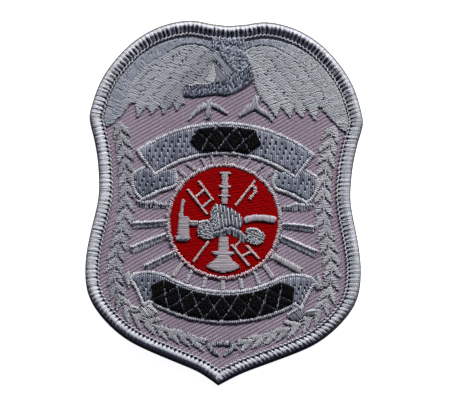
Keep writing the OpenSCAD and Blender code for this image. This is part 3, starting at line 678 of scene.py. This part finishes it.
# Cords of the chain along the inner edge: depth, height over the ground, width. Points of each loop.
CHAIN = ((3.24, 0.34, 0.3), (3.16, 0.26, 0.26))
CHAIN_STEPS = 8


def bead_spots(track):
    """Uneven distances of the beads along the border's track"""
    count = int(round(track.total / BEAD_PITCH))
    return (np.arange(count) + 0.5) * (track.total / count) + rng.normal(0, 0.04, count)


def make_border():
    """Beads of four plies over the edge, the needle holes at their feet, and a chain round the holes"""
    sewing = Sewing("merrowed_border")
    track = Track(outline, depth=BEAD_LINE)
    beads = bead_spots(track)
    count = len(beads)
    pitch = track.total / count
    bead_tone = rng.random(count)
    tangent = raised(unit(track.place(beads + 0.2, 1.4) - track.place(beads - 0.2, 1.4)), 0)
    inward_x, inward_y = track.at(beads)[1].T
    # How far each bead belongs to the upper edges, to the lower ones, and to the lower right flank
    high, low = np.clip(-inward_y, 0, 1)[:, None], np.clip(inward_y, 0, 1)[:, None]
    flank = low * np.clip(-inward_x * 3, 0, 1)[:, None]
    lean = FLANK_SLANT + rng.normal(0, 0.12, (count, 1))
    wrap = WRAP_HIGH * high[..., None] + WRAP_LOW * low[..., None] + WRAP_SIDE * (1 - high - low)[..., None]
    # The beads are rounder where they face up or down the patch
    drop = 0.03 + 0.09 * abs(inward_y)
    for ply in PLIES:
        outer = (ply / PLIES[-1]) ** 2
        grow = 1 - (drop * outer + rng.normal(0, 0.02, count))[:, None]
        depth = CREST + (wrap[..., 0] - CREST) * grow
        depth = depth + np.clip(depth - CREST, 0, 1) * high * rng.normal(0.06, 0.24, (count, 1))
        # Along the upper edges the middle plies reach further in than the outer ones
        tooth = 0.34 * (1 - outer) - 0.2 + rng.normal(0, 0.13, (count, 1))
        depth = depth + tooth * high * np.clip(depth / 0.5 - 1.4, 0, 1) * np.clip(3 - depth, 0, 1)
        z = np.maximum(wrap[..., 1] * (0.4 + 0.6 * grow), 0.3)
        spread = (ply + rng.normal(0, 0.02, count))[:, None] * wrap[..., 2]
        xy = track.place(beads[:, None] + spread + (BEAD_SLANT + lean * flank) * (depth - CREST), depth)
        # Bead tone: random, with painted shade on the lower edges and painted light on the left side and on
        # the lower right flank
        tone = bead_tone * 0.6 + 0.4 + rng.normal(0, 0.2, count) - 0.75 * low[:, 0]
        tone = np.clip(tone + 0.18 * inward_x + 0.7 * flank[:, 0], 0, 1)
        width = PLY_W * (1 - 0.22 * flank[:, 0])
        sewing.threads(raised(xy, z), silk, width, PLY_H, taper=0.75, tone=tone, side=tangent)
    spots = beads + pitch / 2 + FLANK_SLANT * flank[:, 0] * 1.5
    xy = track.place(spots[:, None], np.array(HOLE) + rng.normal(0, 0.05, (count, 1)))
    sewing.threads(raised(xy, GROUND_Z + 0.36), hole_shade, HOLE_W, 0.2, taper=0.25)
    # A second row of dark dots on the right side: painted shadow
    xy = track.place(beads[inward_x < -0.6, None], SECOND_HOLE)
    sewing.threads(raised(xy, GROUND_Z + 0.02), hole_shade, 0.4, 0.12)
    for section, material in ((CORE, shade_underlay), (SEAM, seam_shade_silk), (LIP, rim_and_shadow)):
        sewing.strip(track, section, material)
    # The chain's loops, one round each needle hole
    t = np.arange(count * CHAIN_STEPS + 1) / CHAIN_STEPS
    loops = np.arange(count)[:, None] * CHAIN_STEPS + np.arange(CHAIN_STEPS + 1)
    # Chain tone: random, with painted shade along the upper edges and painted light along the lower ones
    tone = np.clip(0.5 + 0.5 * inward_y + rng.normal(0, 0.12, count), 0, 1)
    swing = np.cos(t * 2 * math.pi)
    wander = np.interp(t, np.arange(count + 1), rng.normal(0, 0.03, count + 1))
    upper = np.clip(-track.at(t * pitch % track.total)[1][:, 1], 0, 1)
    for depth, lift, width in CHAIN:
        xy = track.place(t * pitch, depth + 0.15 * swing + wander)
        z = GROUND_Z + lift + 0.1 * swing - 0.12 * upper
        sewing.threads(raised(xy, z)[loops], chain_silk, width, 0.24, taper=1, tone=tone)
    sewing.build()


make_border()


# Filled areas

# How many tones there are for columns and for rows
TONES = 64


def fill_piece(name, material, base, record_slot, angle, length, phases, top, foot, pitch, sink=0.35,
               width=THREAD_W, height=THREAD_H, reach=0.0, bands=0.0, strands=0.0, left_shade=0.0, **how):
    """One node sewn with rows of stitches. Bands is how far the columns differ in tone, and strands the rows.
    The argument after strands is painted shade: how much darker the piece grows to the patch's left side. The
    rest is for fill_stitches()."""
    sewing = Sewing(name)
    runs = hatch(footprint(name), angle, pitch, reach)
    paths, columns, rows = fill_stitches(runs, foot, top - height / 2, length, phases, **how)
    own, strand = rng.random(TONES)[columns % TONES], rng.random(TONES)[rows % TONES]
    tone = own * bands + strand * strands + rng.random(len(paths)) * (1 - bands - strands)
    # Painted shade, darker towards the patch's left side
    tone = tone - left_shade * np.clip(-paths[:, 0, 0] / 20, 0, 1)
    sewing.threads(paths, material, width, height, tone=np.clip(tone, 0, 1))
    sewing.build(base, sink)


def cord_threads(sewing, line, material, width=0.84, top=EDGING_TOP, foot=GROUND_Z, pitch=0.5, lean=0.1,
                 jitter=0.06, thick=0.52, closed=False):
    """Short stitches across a line, leaning as in a rope. Thick is the width of a stitch."""
    track = Track(line, closed)
    count = int(track.total / pitch)
    s = (np.arange(count) + 0.5) * track.total / count
    ahead, ahead_way = track.at(np.clip(s + lean, 0, track.total))
    behind, behind_way = track.at(np.clip(s - lean, 0, track.total))
    paths = stitches(ahead + ahead_way * width / 2, behind - behind_way * width / 2, foot, top - THREAD_H / 2,
                     CORD, jitter, 0.03)
    sewing.threads(paths, material, thick)


def sew_hem(sewing, line, material, width, top, foot, pitch=0.36, jitter=0.05, thick=0.36):
    """Fine cord along an edge"""
    cord_threads(sewing, rounded(line), material, width, top, foot, pitch, 0.12, jitter, thick)


# How far the stitches of the short rays lean from square, in degrees
SATIN_LEAN = 18
# The lowest ray on the right side is plain satin. It lies below this line.
LOW_LINE = -13.5


def across_loop(loop):
    """Angle of stitches across a long shape"""
    spread = loop - loop.mean(0)
    main = np.linalg.eigh(spread.T @ spread)[1][:, 1]
    return math.degrees(math.atan2(main[1], main[0])) + 90 + SATIN_LEAN


def satin_piece(name, material, angle=None, pitch=0.33, top=None, base=shade_underlay, width=0.4, sink=0.5, reach=0.0,
                form=SATIN, jitter=0.05, rough=0.018, hem=None, low_silk=None):
    """One node sewn with stitches across each of its parts. Its hem is a cord along an edge: line, thread and
    width. Low_silk is the thread of its parts below LOW_LINE."""
    sewing = Sewing(name)
    low, high = node_z(name)
    top = high if top is None else top
    if hem:
        sew_hem(sewing, *hem, top + 0.16, top - 0.25)
    for loop in footprint(name):
        lower = low_silk is not None and loop[:, 1].mean() < LOW_LINE
        own_silk, own_top, own_form = (low_silk, high, SATIN) if lower else (material, top, form)
        starts, ends, _ = hatch([loop], across_loop(loop) if angle is None else angle, pitch, reach)
        paths = stitches(starts, ends, low - 0.02, own_top - THREAD_H / 2, own_form, jitter, rough)
        sewing.threads(paths, own_silk, width)
    sewing.build(base, sink)


def spine(loop, width):
    """Middle line of a strip of even width, from its outline"""
    size = np.linalg.norm(np.roll(loop, -1, 0) - loop, axis=1)
    first = int(np.nonzero(abs(size - width) < 0.02)[0][0])
    loop = np.roll(loop, -first - 1, 0)
    half = len(loop) // 2
    return (loop[:half] + loop[::-1][:half]) / 2


THIRDS = [0, 1 / 3, 2 / 3]
# Rows of the ribbons' long stitches
ROW_PITCH = 0.496

fill_piece("medallion_disc", red, under_red, "red_thread", 0, 4.2, [0, 0.35, 0.7, 0.15, 0.5], FILL_TOP,
           FILL_TOP - 0.2, 0.3, 0.6, height=0.2, jitter=0.01, rough=0.004)
for name in ("upper_ribbon", "lower_ribbon", "upper_tail_left", "upper_tail_right"):
    # The ribbons and their tails grow darker to the left as painted shade
    row_silk, left_shade = (slate_tail, 0.2) if "tail" in name else (slate, 0.4)
    fill_piece(name, row_silk, shade_underlay, "ribbon_thread", 90, 3.66, THIRDS[::-1], FILL_TOP + 0.04,
               FILL_TOP - 0.5, ROW_PITCH, width=0.49, reach=0.1, strands=0.1, left_shade=left_shade, ragged=0.03,
               slits=0.36, rough=0.05, form=LONG)
for name in ("upper_lozenges", "lower_lozenges"):
    low, high = node_z(name)
    fill_piece(name, black, black, "black_thread", 90, 2.2, THIRDS, high, low + 0.05, 0.33, 0.6)


# Eagle

# Its face and nape, the slit of shadow before its neck, sewn in near-black thread as painted shadow, and the
# bright upper edge of its head, under the beak, sewn as a painted highlight
FACE = np.array([(-3.3, 33.9), (-3.5, 34.7), (-1.6, 32.7), (0.3, 30.5), (-0.9, 29.5), (-2.8, 29.5),
                 (-2.5, 31.4)])
NAPE = np.array([(-2.2, 37.9), (0.6, 38.1), (3.2, 37.6), (5.2, 36.4), (5.6, 34.6), (4.4, 33.2), (2.6, 31.6),
                 (1.2, 32.6), (-0.4, 34.4)])
SLIT = np.array([(-3.75, 35.3), (-2.7, 34.1), (-1.5, 32.8)])
CHEEK = [(-9.3, 28.55), (-7.6, 29), (-6, 28.95), (-4.3, 29.2), (-3.2, 29.9)]
NECK_ANGLE = -48


def mottled(sewing, loops, material, angle, pitch, length, top, width=0.3, reach=0.1, rough=0.06):
    """Short rough stitches with dark gaps between them"""
    runs = hatch(loops, angle, pitch, reach)
    paths = fill_stitches(runs, top - 0.5, top - 0.13, length, [0, 0.5, 0.2, 0.75], ragged=0.22, slits=0.14,
                          jitter=0.1, rough=rough)[0]
    sewing.threads(paths, material, width, 0.28, tone=rng.choice([0, 0.2, 0.6, 1], len(paths)))


def lengthways(loops, foot, top, rough=0.018):
    """Fine stitches in the way of the eagle's neck"""
    return stitches(*hatch(loops, NECK_ANGLE, 0.3)[:2], foot, top, rough=rough)


sewing = Sewing("eagle_body")
mottled(sewing, footprint("eagle_body"), dusk, 86, 0.36, 1.7, FILL_TOP)
mottled(sewing, [NAPE], steel, 46, 0.42, 1.2, FILL_TOP + 0.14, 0.36, 0, 0.04)
sewing.threads(lengthways([FACE], FILL_TOP - 0.15, FILL_TOP + 0.1, 0.05), face_silk, 0.3, 0.24)
# Bright hem along the head's upper edge: painted highlight
sew_hem(sewing, CHEEK, bright, 0.44, FILL_TOP + 0.14, FILL_TOP - 0.3, 0.42, 0.08, 0.32)
sewing.build(shade_underlay)

sewing = Sewing("crest")
mottled(sewing, footprint("crest"), crest_silk, 88, 0.33, 1.2, FILL_TOP + 0.06, 0.3, 0.35)
sewing.build(shade_underlay)

# Feathers run in columns from each notch of the wing's lower edge up to the shoulder
FEATHER_W = 2.58
FEATHER_NOTCH = np.array([19.4, 24.2])
FEATHER_PHASES = [0, 0.11, -0.09, 0.18, 0.03, -0.15]
# The right wing is sewn in the brighter copy as painted light, the left in the darker one as painted shade
for side, flip, feather_silk, form, foot in (("left", -1, shaded_feather_silk, FEATHER, FILL_TOP - 0.34),
                                             ("right", 1, lit_feather_silk, FILL, FILL_TOP - 0.3)):
    fill_piece("wing_" + side, feather_silk, shade_underlay, "silver_thread", 22 * flip, FEATHER_W, FEATHER_PHASES,
               FILL_TOP - 0.06, foot, 0.35, width=0.37, reach=0.12, bands=0.6, slant=-18 * flip,
               through=FEATHER_NOTCH * (flip, 1), ragged=0.12, slits=0.05, form=form, jitter=0.1)

satin_piece("beak", bright, 12, 0.3)

# The neck is sewn lengthways
sewing = Sewing("neck")
low, high = node_z("neck")
sewing.threads(lengthways(footprint("neck"), low, high - 0.13), steel, 0.32, 0.26)
# Near-black thread along the slit before the neck: painted shadow
sewing.threads(raised(SLIT, FILL_TOP + 0.12)[None], hole_shade, 0.26, 0.1)
sewing.build(shade_underlay)


# Satin pieces

# Bright upper edges of the right knot and of its end, and mirrored of the left ones, sewn as painted
# highlights
KNOT_HEM = np.array([(15.9, -26.9), (17, -26.15), (18.3, -25.35)])
END_HEM = np.array([(20.5, -26), (21.6, -25.75), (22.5, -25.75)])
for side, flip, knot_silk, curl_lift, low_silk in (("left", -1, bright, -0.05, None),
                                                   ("right", 1, knot_slate, 0.1, pale_low)):
    satin_piece("leg_" + side, leafy, 100, 0.32, width=0.36)
    satin_piece("upper_curl_" + side, bright, 90, 0.42, SATIN_TOP + curl_lift, reach=0.14, form=RIDGE,
                jitter=0.12, rough=0.08)
    satin_piece("lower_fold_" + side, silver, 60)
    for name, angle, pitch, line in (("knot_", -50, 0.36, KNOT_HEM), ("knot_end_", 90, 0.33, END_HEM)):
        satin_piece(name + side, knot_silk, angle, pitch, width=0.34, rough=0.05,
                    hem=(line * (flip, 1), hem_silk, 0.5))
    satin_piece("rays_" + side, ray_silk, 96, 0.38, SATIN_TOP + 0.36, width=0.38, sink=0.2, reach=0.14,
                form=RIDGE, rough=0.08, low_silk=low_silk)

# The short rays lie lower than the other satin
RAY_TOP = SEAT_Z + 0.24
for name, material in (("rays_upper", pale), ("rays_lower", pale_low)):
    satin_piece(name, material, top=RAY_TOP, base=pale_shade_underlay, sink=0.1)
satin_piece("laurel_tie", leafy, 90, top=SATIN_TOP - 0.1, jitter=0.1, rough=0.05)


# Wing bands

inner_line = shifted(outline, BORDER_W)


def make_band(name, flip):
    """Leading band of a wing, whose long stitches turn with the border"""
    sewing = Sewing(name)
    low, high = node_z(name)
    track = Track(inner_line)
    point, inward = track.at(np.arange(0, track.total, 0.31))
    way = unit(inward + 0.12 * flip * left_of(inward))
    # The groove behind the chain is widest at the top
    clear = 0.28 + 0.66 * np.clip(-inward[:, 1:], 0, 1) ** 4
    a, b, _ = inside(footprint(name), point + way * clear, point + way * 7)
    # The seam with the wing opens towards the crest
    near = np.clip((17 - abs(b[:, :1])) / 6, 0, 1)
    b = b + unit(b - a) * (0.15 - 0.4 * near)
    split = a + (b - a) * rng.uniform(0.15, 0.85, (len(a), 1))
    a, b = np.concatenate([a, split]), np.concatenate([split, b])
    paths = stitches(a, b, low + 0.1, high - THREAD_H / 2 - 0.1, FILL, rough=0.035)
    # The right band turns brighter towards the shoulder, a painted sheen, and the left band keeps to darker
    # tones, as painted shade
    shoulder = np.clip(abs(a[:, 0]) / 11 - 0.9, 0, 1) > rng.random(len(a))
    if flip < 0:
        sewing.threads(paths, dawn, 0.29, 0.28, tone=rng.random(len(paths)) * 0.72)
    else:
        sewing.threads(paths[~shoulder], dawn, 0.29, 0.28)
        sewing.threads(paths[shoulder], bright, 0.29, 0.28)
    sewing.build(shade_underlay, 0.4)


make_band("wing_band_left", -1)
make_band("wing_band_right", 1)


# Edgings

def make_edging(name, line, closed=False):
    sewing = Sewing(name)
    cord_threads(sewing, line, edging_silk, closed=closed)
    sewing.build(shade_underlay)


for name in ("upper", "lower"):
    make_edging(name + "_edging", shifted(footprint(name + "_ribbon")[0], -GAP - EDGING_W / 2), True)
for name in ("tail_edging_left", "tail_edging_right"):
    make_edging(name, spine(footprint(name)[0], EDGING_W))

# Arcs of the cord round the disc, in half turns from the right: first, last, thread, how much lower it lies.
# The lower arc's thread is a brighter, redder copy: painted light, with a painted reflection of the red disc.
RING_ARCS = ((-0.15, 1.15, rosy, 0), (1.15, 1.85, rosy_lit, 0.16))

sewing = Sewing("medallion_ring")
low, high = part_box("medallion_ring")
centre = np.array([(low.x + high.x) / 2, (low.y + high.y) / 2]) / MM
radius = (high.x - low.x) / 2 / MM - 0.43
for first, last, ring_silk, drop in RING_ARCS:
    turn = np.linspace(first, last, 91) * math.pi
    line = centre + radius * np.stack([np.cos(turn), np.sin(turn)], 1)
    cord_threads(sewing, line, ring_silk, 0.94, high.z / MM - drop, pitch=0.47, lean=0.14, jitter=0.11,
                 thick=0.44)
sewing.build(shade_underlay)


# Laurels

# Right laurel's stem as in the CAD part, from under the wing down to the tie
LAUREL = np.array([
    (26.2, 19.3), (25.4, 15), (24.7, 10.5), (24.3, 6), (24.2, 1.5), (24.4, -3), (25.1, -7.5), (26, -12),
    (26.5, -16.5), (26, -21), (24.3, -25), (21.3, -27.9), (17.4, -29.8), (13.9, -31.2), (10, -32.5),
    (6.4, -33.6), (3.4, -34.3)
])
# Its leaves: length, width, distance between pairs, and how far they lean from the stem, in degrees
LEAF_L = 4.2
LEAF_W = 1.4
LEAF_STEP = 3.05
OUTER_LEAN = 26
INNER_LEAN = 32
# The inner leaves of the last pairs, by the tie, lean less
TIE_LEAN = 14
TIE_LEAVES = 4
LEAF_TOP = node_z("laurel_left")[1] - 0.12


def make_laurel(name, flip, leaf_silk):
    sewing = Sewing(name)
    line = rounded(LAUREL * [flip, 1], 6)
    sums = lengths(line)
    pairs = int((sums[-1] - LEAF_STEP / 2) / LEAF_STEP)
    area = footprint(name)
    where = np.arange(0.1, LEAF_L + 0.1, 0.33)
    share = where / LEAF_L
    half = LEAF_W / 2 * np.minimum(1, 0.4 + 2.2 * share) * np.minimum(1, (1.05 - share) / 0.4 + 0.12)
    for i in range(pairs + 1):
        inner = TIE_LEAN if i > pairs - TIE_LEAVES else INNER_LEAN
        foot = along(line, sums, i * LEAF_STEP)
        way = unit(along(line, sums, i * LEAF_STEP + 0.5) - foot)
        for lean in (OUTER_LEAN * flip, -inner * flip):
            head = turned(way, lean + rng.normal(0, 3))
            mid = foot + head * where[:, None]
            out = left_of(head) * np.sign(lean) * half[:, None]
            slant = head * half[:, None] * 0.5
            a, b, _ = inside(area, mid + out + slant, mid - out - slant)
            if len(a):
                tone = np.clip(rng.random() * 0.5 + rng.random(len(a)) * 0.5, 0, 1)
                top = LEAF_TOP - 0.12 + rng.normal(0, 0.03)
                paths = stitches(a, b, SEAT_Z - 0.04, top, jitter=0.13)
                sewing.threads(paths, leaf_silk, 0.34, 0.24, tone=tone)
    run = np.arange(0, sums[-1] - 1, 1.3)
    a, b = along(line, sums, run), along(line, sums, run + 1.35)
    sewing.threads(stitches(a, b, SEAT_Z, LEAF_TOP - 0.2, FILL), leaf_silk, 0.36)
    sewing.build(pale_shade_underlay, 0.1)


make_laurel("laurel_left", -1, leafy)
make_laurel("laurel_right", 1, lit_leaf)


# Helmet and tools on the disc

# Ends of the thin cords and the pike's hook, as in the CAD part, from the disc's middle
DISC_AT = (0, -4.4)
CORDS = {
    "ladder_upper": [((-9.1, 7.7), (-4.2, 1.7)), ((-6.4, 9.8), (-2.8, 5.1)), ((-7, 5.9), (-5.1, 7.6)),
                     ((-5.3, 3.5), (-3.2, 5.2))],
    "ladder_lower": [((1.9, -5.6), (6.3, -10.7)), ((5.6, -5.7), (8.7, -8.9)), ((2.7, -6.1), (4, -4.9)),
                     ((4.5, -8.4), (6.9, -7.1))],
    "pike_pole": [((7.3, 10), (2.7, 3.9))],
    "pike_shaft": [((-3.7, -5), (-7.3, -10))],
}
HOOK = [(6.3, 8.6), (7, 8.75), (7.5, 8.1), (7.4, 7.3), (6.9, 6.6), (6.4, 6.1), (6.1, 5.5)]
TOOL_TOP = node_z("ladder_upper")[1]
TOOL_FOOT = BAND_Z - 0.05

for name, ends in CORDS.items():
    sewing = Sewing(name)
    for first, last in np.array(ends) + DISC_AT:
        line = first + (last - first) * np.linspace(0, 1, 9)[:, None]
        cord_threads(sewing, line, rose, 0.5, TOOL_TOP, TOOL_FOOT, 0.36, 0.14, 0.05, 0.36)
    if name == "pike_pole":
        line = rounded(np.array(HOOK) + DISC_AT)
        cord_threads(sewing, line, rose, 0.66, TOOL_TOP, TOOL_FOOT, 0.44, 0.05, 0.08, 0.4)
    sewing.build()

# Dark foot of the nozzle, painted shade, and the bright upper edges of the axe's handle and of the helmet's
# front and rear, painted highlights
NOZZLE_FOOT = [(-11.6, -8.85), (-10, -8.85), (-8.6, -8.8)]
HANDLE_HEM = [(-8.4, -4.6), (-7.4, -4.6), (-6.4, -4.6)]
FRONT_HEM = [(-6.2, -4.75), (-5.2, -4.55), (-3.9, -4.25)]
REAR_HEM = [(5.4, -6.3), (6.7, -6.05), (8.1, -6.25), (9.1, -7.2)]

for name, hem in (("bugle_upper", None), ("bugle_lower", None), ("nozzle", (NOZZLE_FOOT, knot_slate, 0.75))):
    satin_piece(name, mauve, 0, 0.3, width=0.34, reach=0.05, rough=0.03, hem=hem)


def make_flap(name, angle, hem):
    """End of the helmet, sewn in short rough stitches with a bright upper edge"""
    sewing = Sewing(name)
    top = node_z(name)[1]
    mottled(sewing, footprint(name), silver, angle, 0.34, 0.9, top, 0.32, 0.08, 0.05)
    sew_hem(sewing, hem, hem_silk, 0.42, top + 0.1, top - 0.3)
    sewing.build(shade_underlay)


make_flap("helmet_front", 35, FRONT_HEM)
make_flap("helmet_rear", -60, REAR_HEM)
satin_piece("axe_handle", mauve, 90, 0.3, width=0.3, rough=0.03, hem=(HANDLE_HEM, hem_silk, 0.36))
satin_piece("helmet_brim", steel, 90, 0.34, reach=0.14, form=RIDGE, jitter=0.12, rough=0.07)
satin_piece("axe_grip", mauve, 84, 0.3, reach=0.1, rough=0.04)

# The crown's front is sewn in short stitches, and the rest in dark and light ridges
CROWN_SPLIT = -1.5
CROWN_ANGLE = 98


def crown_runs(pitch, front):
    """Rows of the crown's front, or of the rest"""
    starts, ends, number = hatch(footprint("helmet_crown"), CROWN_ANGLE, pitch)
    keep = ((starts[:, 0] + ends[:, 0]) / 2 < CROWN_SPLIT) == front
    return starts[keep], ends[keep], number[keep]


sewing = Sewing("helmet_crown")
low, high = node_z("helmet_crown")
phases = [0, 0.5, 0.25]
paths = fill_stitches(crown_runs(0.36, True), high - 0.5, high - 0.1, 0.8, phases, slits=0.1, rough=0.06)[0]
sewing.threads(paths, silver, 0.32, 0.28)
paths, _, rows = fill_stitches(crown_runs(0.42, False), low, high - 0.13, 3.6, phases, slits=0.1, rough=0.03)
dark = rows % 2 == 0
paths[dark, :, 2] -= 0.1
sewing.threads(paths[dark], dusk, 0.36, 0.26, tone=rng.random(dark.sum()) * 0.4)
sewing.threads(paths[~dark], hem_silk, 0.36)
sewing.build(shade_underlay, 0.45)


# Back of the border

# The way of a ply under the edge, from the rim to the backing: depth and height
BACK_WRAP = np.array([(0.54, 0.4), (0.62, 0.24), (0.88, 0.14), (1.6, 0.12), (2.4, 0.12), (3, 0.14),
                      (3.2, 0.26)])
# How far a ply leans along the border for each millimetre inwards
BACK_SLANT = 0.16
# Depth and height of the seam under the plies
BACK_SEAM = ((0.6, 0.36), (0.9, 0.22), (3.1, 0.22), (3.3, 0.34))


sewing = Sewing("border_back")
track = Track(outline, depth=BEAD_LINE)
beads = bead_spots(track)
depth, z = BACK_WRAP.T
for ply in PLIES:
    uneven = depth + rng.normal(0, 0.05, (len(beads), 1))
    xy = track.place(beads[:, None] + ply + BACK_SLANT * depth, uneven)
    sewing.threads(raised(xy, z), silk, 0.3, 0.2, 5)
sewing.strip(track, BACK_SEAM, seam_shade_silk)
sewing.build(nodes=["merrowed_border"])


# Floor, light and camera

FAR = 3
mesh = bpy.data.meshes.new("floor")
mesh.from_pydata([(-FAR, -FAR, 0), (FAR, -FAR, 0), (FAR, FAR, 0), (-FAR, FAR, 0)], [], [(0, 1, 2, 3)])
material, tree, shader = node_material("floor_white")
set_inputs(tree, shader, {"Base Color": (0.95, 0.95, 0.95, 1), "Roughness": 0.9,
                          "Emission Color": (1, 1, 1, 1), "Emission Strength": 0.95})
mesh.materials.append(material)
floor = place_in_scene("floor", mesh)
floor.visible_diffuse = False
floor.visible_glossy = False
floor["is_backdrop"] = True

# Long lamp beyond the top of the patch, as in a scanner, and a faint blue sky
LAMP_AT = Vector((0.28, 1.39, 0.75))
data = bpy.data.lights.new("scanner_lamp", "AREA")
data.shape = "RECTANGLE"
data.size, data.size_y = 2.4, 0.12
data.energy = 56
data.color = (1, 0.985, 0.965)
lamp = place_in_scene("scanner_lamp", data)
lamp.location = LAMP_AT
lamp.rotation_mode = "QUATERNION"
lamp.rotation_quaternion = (-LAMP_AT).to_track_quat("-Z", "Y")
world = bpy.data.worlds.new("studio")
bpy.context.scene.world = world
world.use_nodes = True
tree = world.node_tree
set_inputs(tree, tree.nodes["Background"], {"Color": (0.54, 0.68, 1, 1), "Strength": 0.055})

# The view is VIEW_W millimetres wide at VIEW_Z millimetres over the floor
VIEW_W = 109.71
VIEW_Z = 2
CAMERA_AT = (0.106 * MM, 0.855 * MM, 1.2)
CAMERA_TURN = 1.2
SENSOR_W = 36
data = bpy.data.cameras.new("camera")
data.sensor_width = SENSOR_W
data.lens = SENSOR_W * (CAMERA_AT[2] / MM - VIEW_Z) / VIEW_W
data.clip_start, data.clip_end = 0.05, 10
camera = place_in_scene("camera", data)
camera.location = CAMERA_AT
camera.rotation_euler = (0, 0, math.radians(CAMERA_TURN))
bpy.context.scene.camera = camera
bpy.context.scene.view_settings.view_transform = "Standard"

low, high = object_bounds()
